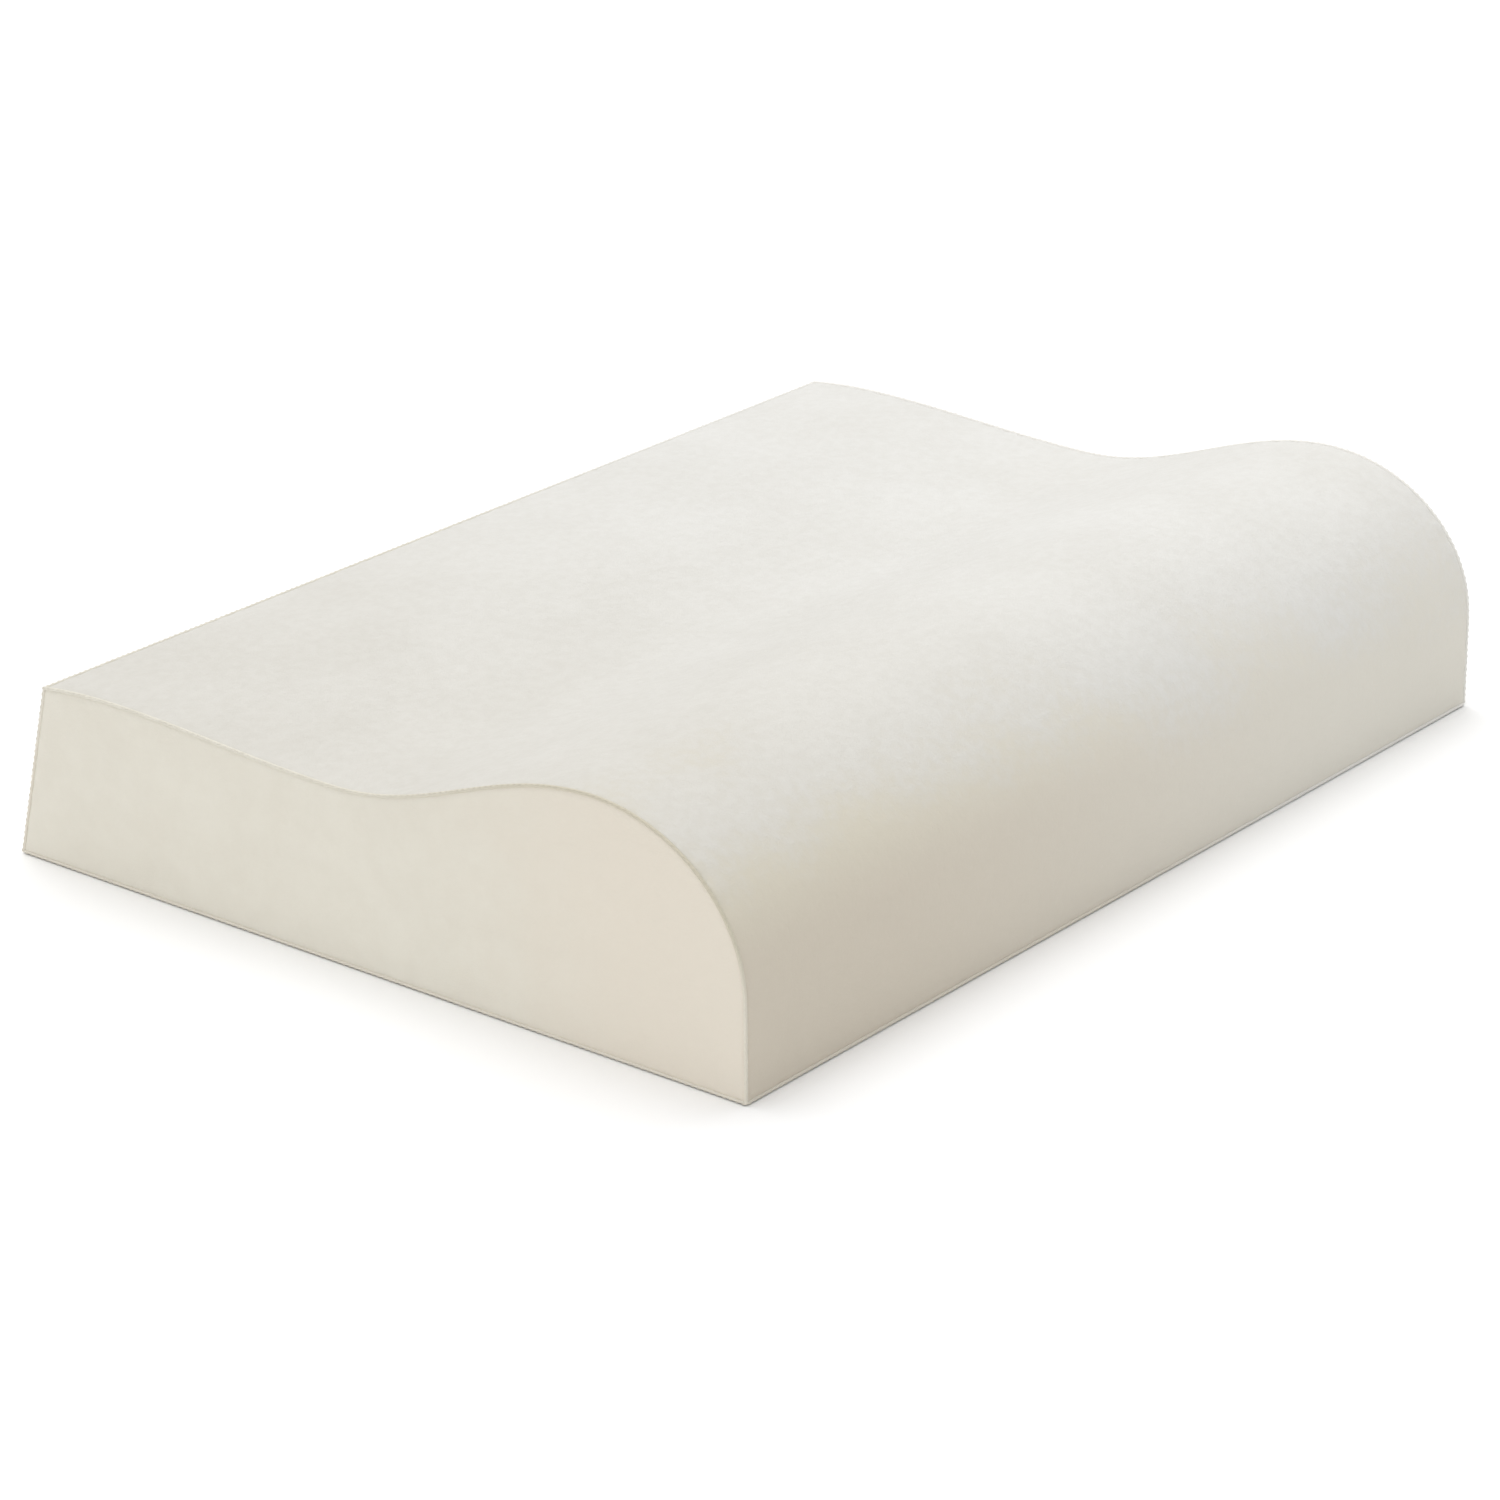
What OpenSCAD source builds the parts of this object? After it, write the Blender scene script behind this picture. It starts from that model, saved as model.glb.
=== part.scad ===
// Contoured cervical support pillow. A slow-recovery foam block with a high front lobe, a shallow
// trough and a low rear lobe sits in a knitted liner and in a sewn cover of six panels. The cover
// closes with a coil zip along the middle of its rear face.
// X runs along the pillow, -Y is the side of the high lobe, and Z is up.
// The origin is the centre of the base, on the surface that the pillow lies on.

/* [Pillow] */
// Length of the pillow, from end panel to end panel
pillow_l = 500; // [480:10:620]
// Depth of the pillow at its base, from front face to rear face
base_d = 380; // [350:5:420]

/* [Contour] */
// Height at which the straight front face turns into the front lobe
front_wall_h = 42; // [30:1:60]
// Height of the front lobe's crown
front_crown_h = 105; // [95:1:125]
// Distance of the front lobe's crown from the front face
front_crown_in = 73; // [60:1:90]
// Height of the trough where the head lies
trough_h = 75; // [65:0.5:80]
// Distance of the trough's lowest line from the front face
trough_in = 202; // [180:1:230]
// Height of the rear lobe's crown
rear_crown_h = 80; // [76:1:95]
// Distance of the rear lobe's crown from the front face
rear_crown_in = 325; // [290:1:325]
// Height of the rear face's top edge
rear_edge_h = 77.5; // [70:0.5:78]
// How far the rear face's top edge stands in from its foot
rear_edge_in = 19; // [10:1:24]

/* [Layers] */
// Thickness of the cover fabric and its seams
cover_t = 1.6; // [1:0.1:2]
// Thickness of the knitted liner
liner_t = 0.6; // [0.4:0.1:1]
// Ease between one layer and the next
ease = 0.2; // [0.1:0.1:0.4]

/* [Zip] */
// Length of the slot that the zip closes
zip_l = 440; // [300:10:440]
// Width of the slot between the two folded edges
slot_w = 10; // [10:0.5:12]
// Width of one zip tape
tape_w = 13; // [10:1:15]
// Thickness of one zip tape
tape_t = 0.5; // [0.4:0.1:0.7]
// Width of one coil
coil_w = 2.4; // [2:0.1:2.6]
// Height of one coil above its tape
coil_h = 2.2; // [1.8:0.1:2.4]
// Gap between the two coils, through which the slider's neck runs
coil_gap = 1.3; // [1.3:0.1:1.6]

/* [Slider] */
// Length of the slider's body
slider_l = 12; // [11:0.5:14]
// Thickness of each of the slider's two plates and of its side flanges
plate_t = 0.8; // [0.7:0.1:1]
// Thickness of the slider's neck
neck_t = 0.7; // [0.5:0.1:0.7]
// Running clearance between the slider and the chain, and between the slider and its tab
run_gap = 0.3; // [0.3:0.05:0.4]
// Length of the pull tab from its hinge
tab_l = 24; // [16:1:30]
// Width of the pull tab
tab_w = 6; // [5:0.5:8]
// Thickness of the pull tab and of its hinge bar
tab_t = 1.2; // [1:0.1:1.4]

/* [Hidden] */
$fn = 48;

top_cloth = [0.92, 0.92, 0.90];
end_cloth = [0.88, 0.86, 0.81];
base_cloth = [0.84, 0.82, 0.77];
thread_colour = [0.80, 0.77, 0.70];
tape_colour = [0.90, 0.89, 0.85];
metal_colour = [0.72, 0.72, 0.73];

left = -1;
right = 1;
upper = 1;
lower = -1;

// ---- The side outline: points (y, z), from the foot of the front face over the top to the rear ----

front_y = -base_d / 2;
rear_y = base_d / 2;
crown_y = front_y + front_crown_in;
trough_y = front_y + trough_in;
rear_crown_y = front_y + rear_crown_in;
rear_edge_y = rear_y - rear_edge_in;

lobe_steps = 14;
fall_steps = 16;
rise_steps = 8;
edge_steps = 4;

// The height on a half cosine wave that runs from a to b, at share t of its way
function wave(a, b, t) = (a + b) / 2 + (a - b) / 2 * cos(180 * t);
// The number that is share t of the way from a to b
function between(a, b, t) = a + (b - a) * t;

front_lobe = [
    for (i = [0 : lobe_steps])
        let (turn = 90 * i / lobe_steps)
        [
            crown_y - front_crown_in * cos(turn),
            front_wall_h + (front_crown_h - front_wall_h) * sin(turn)
        ]
];
fall = [
    for (i = [1 : fall_steps])
        let (t = i / fall_steps)
        [between(crown_y, trough_y, t), wave(front_crown_h, trough_h, t)]
];
rise = [
    for (i = [1 : rise_steps])
        let (t = i / rise_steps)
        [between(trough_y, rear_crown_y, t), wave(trough_h, rear_crown_h, t)]
];
rear_edge = [
    for (i = [1 : edge_steps])
        let (t = i / edge_steps)
        [between(rear_crown_y, rear_edge_y, t), between(rear_crown_h, rear_edge_h, t * t)]
];
outline = concat([[front_y, 0]], front_lobe, fall, rise, rear_edge, [[rear_y, 0]]);

front_foot = 0;
rear_foot = len(outline) - 1;
rear_top = rear_foot - 1;

// ---- The outline set inwards, and the slices of the cover that lie between its corners ----

function point(i) = outline[(i + len(outline)) % len(outline)];
// The unit normal that points into the outline from its side between points i and i + 1
function inward(i) = let (side = point(i + 1) - point(i)) [side.y, -side.x] / norm(side);
// Point i moved in so that both of its sides stand d further in
function set_in(i, d) =
    let (before = inward(i - 1), after = inward(i))
    point(i) + d * (before + after) / (1 + before * after);
function inset_outline(d) = [for (i = [0 : rear_foot]) set_in(i, d)];
// Where a seam at corner i ends on the side before it and on the side after it
function foot_before(i) = set_in(i, cover_t) - cover_t * inward(i - 1);
function foot_after(i) = set_in(i, cover_t) - cover_t * inward(i);
// The seam at corner i, and the panel from corner i to corner j
function seam_slice(i) = [foot_before(i), point(i), foot_after(i), set_in(i, cover_t)];
function panel_slice(i, j) = concat(
    [foot_after(i)],
    [for (k = [i + 1 : 1 : j - 1]) point(k)],
    [foot_before(j)],
    [for (k = [j : -1 : i]) set_in(k, cover_t)]
);

module along_x(l) {
    rotate([90, 0, 90])
        linear_extrude(l, center = true)
            children();
}

// The whole block, with every face d further in than the cover's outside
module block(d) {
    along_x(pillow_l - 2 * d)
        polygon(inset_outline(d));
}

panel_l = pillow_l - 2 * cover_t;

module cover_slice(points) {
    along_x(panel_l)
        polygon(points);
}

module at_end(side) {
    translate([side * (pillow_l - cover_t) / 2, 0, 0])
        along_x(cover_t)
            children();
}

// ---- The rear face: x along the pillow, depth outwards from the cloth, height up the face ----

rear_face_h = norm(point(rear_top) - point(rear_foot));
rear_lean = atan2(rear_edge_in, rear_edge_h);
zip_h = rear_face_h / 2;
strip_top = rear_face_h - norm(foot_after(rear_top) - point(rear_top)) - zip_h;
strip_foot = norm(foot_before(rear_foot) - point(rear_foot)) - zip_h;

module on_rear_face() {
    translate([0, rear_y, 0])
        rotate([rear_lean, 0, 0])
            translate([0, 0, zip_h])
                children();
}

// A straight-sided solid between two x, two depths and two heights, mirrored about the zip when side is lower
module slab(x, depth, height, side = upper) {
    low = side == upper ? height[0] : -height[1];
    translate([x[0], depth[0], low])
        cube([x[1] - x[0], depth[1] - depth[0], height[1] - height[0]]);
}

module strip(side, reach) {
    on_rear_face() {
        difference() {
            slab([-panel_l / 2, panel_l / 2], [-cover_t, 0], [0, reach], side);
            slab([-zip_l / 2, zip_l / 2], [-2 * cover_t, cover_t], [-1, slot_w / 2], side);
        }
    }
}

// ---- The zip's own places, in the same frame ----

coil_in = coil_gap / 2;
coil_out = coil_in + coil_w;
coil_top = coil_h - cover_t;
coil_over_gap = coil_w / 4;
tape_in = coil_in + coil_over_gap;
tape_out = tape_in + tape_w;
tape_tail = 8;
tape_end = zip_l / 2 + tape_tail;
stop_l = 2.6;
chain_gap = 0.5;
chain_end = zip_l / 2 - chain_gap;
coil_end = chain_end - stop_l;
stitch_w = 0.4;
stitch_h = 0.3;
stitch_in = 2;
bartack_w = 1.6;
bartack_in = 0.8;
bartack_over = 3;
bartack_reach = slot_w / 2 + bartack_over;

back_plate_top = -cover_t - tape_t - run_gap;
back_plate_foot = back_plate_top - plate_t;
face_plate_foot = coil_top + run_gap;
face_plate_top = face_plate_foot + plate_t;
flange_in = coil_out + run_gap;
flange_out = flange_in + plate_t;
hinge_depth = face_plate_top + run_gap + tab_t / 2;
bridge_wall = 0.8;
bridge_l = 7.2;
bridge_w = 2.2;
bridge_top = hinge_depth + tab_t / 2 + run_gap + bridge_wall;
bridge_round = 1.2;
tab_window_gap = 1.4;
tab_window_end = bridge_l / 2 + tab_window_gap;
tab_arm_in = bridge_w / 2 + 2 * run_gap;
slider_x = coil_end - run_gap - slider_l / 2;
neck_l = 3.5;
neck_in = 0.5;

relief_under = 0.4;
relief_side = 0.3;
relief_end = 0.5;
relief_floor = back_plate_foot - relief_under;
relief_half_w = tape_out + relief_side;
relief_half_l = tape_end + relief_end;

// The hollow that the zip presses into the layers behind it, grown by d on every side
module zip_relief(d) {
    on_rear_face()
        slab(
            [-relief_half_l - d, relief_half_l + d],
            [relief_floor - d, cover_t],
            [-relief_half_w - d, relief_half_w + d]
        );
}

// ---- Inside the cover ----

liner_in = cover_t + ease;
liner_inside = liner_in + liner_t;
core_in = liner_inside + ease;

module foam_core() {
    color("ivory")
        difference() {
            block(core_in);
            zip_relief(liner_t + ease);
        }
}

module inner_liner() {
    color("whitesmoke")
        difference() {
            block(liner_in);
            zip_relief(0);
            difference() {
                block(liner_inside);
                zip_relief(liner_t);
            }
        }
}

// ---- The cover's panels ----

module cover_top_panel() {
    color(top_cloth)
        cover_slice(panel_slice(front_foot, rear_top));
}

module cover_bottom_panel() {
    color(base_cloth)
        cover_slice(panel_slice(rear_foot, rear_foot + 1));
}

module cover_end_panel(side) {
    color(end_cloth)
        at_end(side)
            polygon(inset_outline(cover_t));
}

module cover_rear_strip_upper() {
    color(end_cloth)
        strip(upper, strip_top);
}

module cover_rear_strip_lower() {
    color(end_cloth)
        strip(lower, -strip_foot);
}

// ---- The cover's seams ----

module seam_end(side) {
    color(thread_colour)
        at_end(side)
            difference() {
                polygon(outline);
                polygon(inset_outline(cover_t));
            }
}

module seam_along(corner) {
    color(thread_colour)
        cover_slice(seam_slice(corner));
}

// ---- The zip ----

module zip_tape(side) {
    color(tape_colour)
        on_rear_face()
            slab([-tape_end, tape_end], [-cover_t - tape_t, -cover_t], [tape_in, tape_out], side);
}

module zip_coil(side) {
    color(tape_colour)
        on_rear_face()
            slab([-coil_end, coil_end], [-cover_t, coil_top], [coil_in, coil_out], side);
}

module zip_top_stops() {
    color(metal_colour)
        on_rear_face()
            for (side = [lower, upper])
                slab([coil_end, chain_end], [-cover_t, coil_top], [coil_in, coil_out], side);
}

module zip_bottom_stop() {
    color(metal_colour)
        on_rear_face()
            slab([-chain_end, -coil_end], [-cover_t, coil_top], [-coil_out, coil_out]);
}

module zip_topstitching() {
    row = slot_w / 2 + stitch_in;
    color(thread_colour)
        on_rear_face()
            for (side = [lower, upper])
                slab([-chain_end, chain_end], [0, stitch_h], [row, row + stitch_w], side);
}

module zip_bartacks() {
    near = zip_l / 2 + bartack_in;
    color(thread_colour)
        on_rear_face()
            for (end = [left, right])
                translate([end * (near + bartack_w / 2), 0, 0])
                    slab([-bartack_w / 2, bartack_w / 2], [0, stitch_h], [-bartack_reach, bartack_reach]);
}

// The slider's bridge seen along its hinge, from the face plate up, with the hinge bar's hole
module bridge_side() {
    top = bridge_top - face_plate_top;
    straight = bridge_l - 2 * bridge_round;
    difference() {
        union() {
            translate([-bridge_l / 2, 0])
                square([bridge_l, top - bridge_round]);
            translate([-straight / 2, 0])
                square([straight, top]);
            for (end = [left, right])
                translate([end * straight / 2, top - bridge_round])
                    circle(bridge_round);
        }
        translate([0, hinge_depth - face_plate_top])
            circle(tab_t / 2 + run_gap);
    }
}

module zip_slider() {
    half_l = slider_l / 2;
    body_x = [-half_l, half_l];
    neck_x = [half_l - neck_in - neck_l, half_l - neck_in];
    color(metal_colour)
        on_rear_face()
            translate([slider_x, 0, 0]) {
                slab(body_x, [back_plate_foot, back_plate_top], [-flange_out, flange_out]);
                slab(body_x, [face_plate_foot, face_plate_top], [-flange_out, flange_out]);
                slab(neck_x, [back_plate_top, face_plate_foot], [-neck_t / 2, neck_t / 2]);
                for (side = [lower, upper])
                    slab(body_x, [run_gap - cover_t, face_plate_foot], [flange_in, flange_out], side);
                translate([0, face_plate_top, 0])
                    linear_extrude(bridge_w, center = true)
                        bridge_side();
            }
}

// The tab lies flat along the closed chain, and its hinge bar passes under the slider's bridge
module zip_pull_tab() {
    end_r = tab_w / 2;
    color(metal_colour)
        on_rear_face()
            translate([slider_x, hinge_depth, 0]) {
                cylinder(h = tab_w, r = tab_t / 2, center = true);
                rotate([90, 0, 0])
                    linear_extrude(tab_t, center = true)
                        difference() {
                            union() {
                                translate([end_r - tab_l, -tab_w / 2])
                                    square([tab_l - end_r, tab_w]);
                                translate([end_r - tab_l, 0])
                                    circle(end_r);
                            }
                            translate([-tab_window_end, -tab_arm_in])
                                square([tab_window_end + 1, 2 * tab_arm_in]);
                        }
            }
}

// ---- The blank care label, folded double and caught in the seam along the rear face's top edge ----

label_w = 24;
label_h = 27;
label_t = 0.5;
label_x = -196;

module care_label() {
    color("white")
        on_rear_face()
            slab([label_x, label_x + label_w], [0, label_t], [strip_top - label_h, strip_top + cover_t / 2]);
}

foam_core();
inner_liner();
cover_top_panel();
cover_bottom_panel();
cover_end_panel(left);  // cover_left_end_panel
cover_end_panel(right);  // cover_right_end_panel
cover_rear_strip_upper();
cover_rear_strip_lower();
seam_end(left);  // seam_left_end
seam_end(right);  // seam_right_end
seam_along(rear_top);  // seam_rear_top
seam_along(front_foot);  // seam_front_bottom
seam_along(rear_foot);  // seam_rear_bottom
zip_tape(upper);  // zip_tape_upper
zip_tape(lower);  // zip_tape_lower
zip_coil(upper);  // zip_coil_upper
zip_coil(lower);  // zip_coil_lower
zip_top_stops();
zip_bottom_stop();
zip_topstitching();
zip_bartacks();
zip_slider();
zip_pull_tab();
care_label();
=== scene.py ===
"""A contoured cervical support pillow: foam block, liner, sewn cover and zip, dressed round its CAD frame."""

import logging
import math
from collections.abc import Callable, Iterable, Sequence
from dataclasses import dataclass, field
from enum import Enum

import bmesh
import bpy
import numpy as np
from mathutils import Matrix, Quaternion, Vector


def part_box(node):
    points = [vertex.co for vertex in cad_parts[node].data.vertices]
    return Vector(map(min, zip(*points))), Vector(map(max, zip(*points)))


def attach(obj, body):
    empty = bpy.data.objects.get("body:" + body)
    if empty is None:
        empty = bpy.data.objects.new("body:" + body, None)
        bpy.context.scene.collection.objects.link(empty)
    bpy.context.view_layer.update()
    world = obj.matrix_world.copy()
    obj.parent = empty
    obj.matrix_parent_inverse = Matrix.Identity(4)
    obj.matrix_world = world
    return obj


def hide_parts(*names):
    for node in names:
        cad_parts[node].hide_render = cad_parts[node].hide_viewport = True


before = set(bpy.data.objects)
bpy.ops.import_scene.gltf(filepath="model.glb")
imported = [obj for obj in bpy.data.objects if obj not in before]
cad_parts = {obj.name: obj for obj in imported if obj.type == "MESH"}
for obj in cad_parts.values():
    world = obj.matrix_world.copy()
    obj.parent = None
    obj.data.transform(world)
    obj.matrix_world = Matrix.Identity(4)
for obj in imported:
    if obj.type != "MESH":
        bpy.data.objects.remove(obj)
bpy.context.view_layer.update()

LOG = logging.getLogger("pillow")
MM = 0.001

Colour = tuple[float, float, float]
Triple = tuple[float, float, float]
Node = bpy.types.ShaderNode
Socket = bpy.types.NodeSocket
Piece = bpy.types.Object


class Slot(Enum):
    """The record's material slots."""

    FOAM = "foam"
    LINER = "liner_knit"
    TOP = "cover_top_cloth"
    SIDE = "cover_side_cloth"
    BASE = "cover_base_cloth"
    THREAD = "thread"
    TAPE = "zip_tape"
    COIL = "zip_coil"
    METAL = "zip_metal"
    LABEL = "label_satin"


class Body(Enum):
    """The bodies that the frame's joints move."""

    PILLOW = "pillow"
    SLIDER = "slider"
    TAB = "pull_tab"


# ---------------------------------------------------------------- mesh helpers


def deselect() -> None:
    """Leave edit mode and deselect everything."""
    if bpy.context.object and bpy.context.object.mode != "OBJECT":
        bpy.ops.object.mode_set(mode="OBJECT")
    bpy.ops.object.select_all(action="DESELECT")


def activate(piece: Piece) -> None:
    """Make a piece the only selected object, and the active one.

    Args:
        piece: The object.
    """
    deselect()
    piece.select_set(True)
    bpy.context.view_layer.objects.active = piece


def link(piece: Piece) -> Piece:
    """Put a new object into the scene, and return it."""
    bpy.context.scene.collection.objects.link(piece)
    return piece


def new_piece(name: str, points: np.ndarray, faces: Iterable[Sequence[int]]) -> Piece:
    """Make a mesh object.

    Args:
        name: The piece's name.
        points: An array of n points, in metres.
        faces: The corners of each face, anticlockwise from outside.

    Returns:
        The new object, linked to the scene.
    """
    mesh = bpy.data.meshes.new(name)
    mesh.from_pydata([tuple(p) for p in points], [], [tuple(f) for f in faces])
    mesh.validate()
    return link(bpy.data.objects.new(name, mesh))


def block(size: Triple, place: Triple) -> Piece:
    """Add a block at its size and place, selected all over, from which a small metal part is shaped.

    Args:
        size: Its length, width and thickness.
        place: Where its middle lies.

    Returns:
        The new object.
    """
    deselect()
    bpy.ops.mesh.primitive_cube_add(size=1, location=place)
    piece = bpy.context.object
    piece.scale = size
    bpy.ops.object.transform_apply(location=True, scale=True)
    return piece


def modify(piece: Piece, kind: str, **settings: object) -> None:
    """Add a modifier and apply it.

    Args:
        piece: The object to modify.
        kind: The modifier's type.
        settings: Its settings.
    """
    activate(piece)
    modifier = piece.modifiers.new(kind.lower(), kind)
    for key, value in settings.items():
        setattr(modifier, key, value)
    bpy.ops.object.modifier_apply(modifier=modifier.name)


def round_edges(piece: Piece, width: float, segments: int, over: float) -> None:
    """Bevel a piece's sharp edges.

    Args:
        piece: The piece.
        width: The bevel's width.
        segments: How many faces it has across.
        over: The angle, in degrees, over which an edge is sharp.
    """
    modify(
        piece, "BEVEL", width=width, segments=segments, limit_method="ANGLE", angle_limit=math.radians(over)
    )


def open_to_edit(piece: Piece) -> None:
    """Open a piece in edit mode with nothing selected.

    Args:
        piece: The object.
    """
    activate(piece)
    bpy.ops.object.mode_set(mode="EDIT")
    bpy.ops.mesh.select_all(action="DESELECT")


def cut(place: Triple, normal: Triple) -> None:
    """Cut the piece that is in edit mode along a plane, and keep both sides."""
    bpy.ops.mesh.select_all(action="SELECT")
    bpy.ops.mesh.bisect(plane_co=place, plane_no=normal)


def select_faces(piece: Piece, test: Callable[[Vector, Vector], bool]) -> None:
    """Select the faces of a piece in edit mode that pass a test.

    Args:
        piece: The object being edited.
        test: Told a face's middle and its normal, says whether the face is wanted.
    """
    edit = bmesh.from_edit_mesh(piece.data)
    bpy.ops.mesh.select_mode(type="FACE")
    for face in edit.faces:
        face.select_set(test(face.calc_center_median(), face.normal))
    bmesh.update_edit_mesh(piece.data)


def select_edges(piece: Piece, test: Callable[[Vector, Vector], bool]) -> None:
    """Select the edges of a piece in edit mode that pass a test.

    Args:
        piece: The object being edited.
        test: Told both ends of an edge, says whether the edge is wanted.
    """
    edit = bmesh.from_edit_mesh(piece.data)
    bpy.ops.mesh.select_mode(type="EDGE")
    for edge in edit.edges:
        edge.select_set(test(edge.verts[0].co, edge.verts[1].co))
    bmesh.update_edit_mesh(piece.data)


def smooth_by(piece: Piece, angle: float) -> None:
    """Shade a piece smoothly, except over edges sharper than so many degrees."""
    activate(piece)
    bpy.ops.object.shade_smooth_by_angle(angle=math.radians(angle))


def finish_mesh(piece: Piece, angle: float | None = None) -> None:
    """Merge doubles, point every face outwards and shade the piece smoothly.

    Args:
        piece: The object to finish.
        angle: Edges sharper than this many degrees stay sharp. None smooths them all.
    """
    open_to_edit(piece)
    bpy.ops.mesh.select_all(action="SELECT")
    bpy.ops.mesh.remove_doubles(threshold=1e-6)
    bpy.ops.mesh.normals_make_consistent(inside=False)
    bpy.ops.object.mode_set(mode="OBJECT")
    if angle is None:
        bpy.ops.object.shade_smooth()
    else:
        smooth_by(piece, angle)


def join(name: str, parts: Sequence[Piece]) -> Piece:
    """Join parts into one object.

    Args:
        name: The new piece's name.
        parts: The objects to join.

    Returns:
        The joined piece.
    """
    deselect()
    for part in parts:
        part.select_set(True)
    bpy.context.view_layer.objects.active = parts[0]
    bpy.ops.object.join()
    parts[0].name = name
    parts[0].data.name = name
    return parts[0]


def repeated(name: str, pattern: Piece, places: np.ndarray) -> Piece:
    """Copy one small shape to many places, as one mesh.

    Args:
        name: The new piece's name.
        pattern: The shape that repeats, which is removed.
        places: An array of 4 x 4 matrices, one for each copy.

    Returns:
        The new piece.
    """
    points = np.array([v.co for v in pattern.data.vertices])
    faces = [tuple(p.vertices) for p in pattern.data.polygons]
    turned = np.einsum("kij,nj->kni", places[:, :3, :3], points) + places[:, None, :3, 3]
    count = len(points)
    every = [tuple(c + k * count for c in f) for k in range(len(places)) for f in faces]
    bpy.data.objects.remove(pattern)
    piece = new_piece(name, turned.reshape(-1, 3), every)
    activate(piece)
    bpy.ops.object.shade_smooth()
    return piece


def tube(name: str, path: np.ndarray, radius: float, closed: bool, sides: int) -> Piece:
    """Sweep a round section along a path.

    Args:
        name: The new piece's name.
        path: The points that the middle of the tube follows.
        radius: The tube's radius, in metres.
        closed: Whether the path's end joins its start.
        sides: The bevel resolution, which gives 4 + 2 x sides faces round the tube.

    Returns:
        The tube as a mesh.
    """
    curve = bpy.data.curves.new(name, "CURVE")
    curve.dimensions = "3D"
    curve.bevel_depth = radius
    curve.bevel_resolution = sides
    curve.use_fill_caps = not closed
    spline = curve.splines.new("POLY")
    spline.points.add(len(path) - 1)
    spline.points.foreach_set("co", np.c_[path, np.ones(len(path))].ravel())
    spline.use_cyclic_u = closed
    activate(link(bpy.data.objects.new(name, curve)))
    bpy.ops.object.convert(target="MESH")
    return bpy.context.object


def unit(vectors: np.ndarray) -> np.ndarray:
    """Vectors in the last axis of an array, made 1 long."""
    return vectors / np.linalg.norm(vectors, axis=-1)[..., None]


def run_along(path: np.ndarray) -> np.ndarray:
    """How far along a path each of its points lies, from 0 at its start."""
    return np.concatenate([[0], np.cumsum(np.linalg.norm(np.diff(path, axis=0), axis=1))])


def frames_along(path: np.ndarray, outward: np.ndarray) -> np.ndarray:
    """Matrices that stand a shape on each point of a path.

    Args:
        path: n points.
        outward: The direction that the shape's z axis takes at each point.

    Returns:
        n 4 x 4 matrices, with x along the path and z outwards.
    """
    along = unit(np.gradient(path, axis=0))
    up = unit(outward - (outward * along).sum(1)[:, None] * along)
    places = np.tile(np.eye(4), (len(path), 1, 1))
    places[:, :3, 0] = along
    places[:, :3, 1] = np.cross(up, along)
    places[:, :3, 2] = up
    places[:, :3, 3] = path
    return places


def spaced(path: np.ndarray, pitch: float, closed: bool = False) -> np.ndarray:
    """Points at an even pitch along a path.

    Args:
        path: The points of the path.
        pitch: About how far apart the new points are, in metres.
        closed: Whether the path's end joins its start.

    Returns:
        The new points.
    """
    line = np.vstack([path, path[:1]]) if closed else path
    run = run_along(line)
    count = max(2, round(run[-1] / pitch))
    at = (np.arange(count) + 0.5) * run[-1] / count
    return np.stack([np.interp(at, run, line[:, k]) for k in range(3)], axis=1)


def smooth_step(value: np.ndarray, low: float, high: float) -> np.ndarray:
    """0 below low, 1 above high, and a smooth rise between."""
    part = np.clip((value - low) / (high - low), 0, 1)
    return part * part * (3 - 2 * part)


# ---------------------------------------------------------------- the outline


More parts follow.
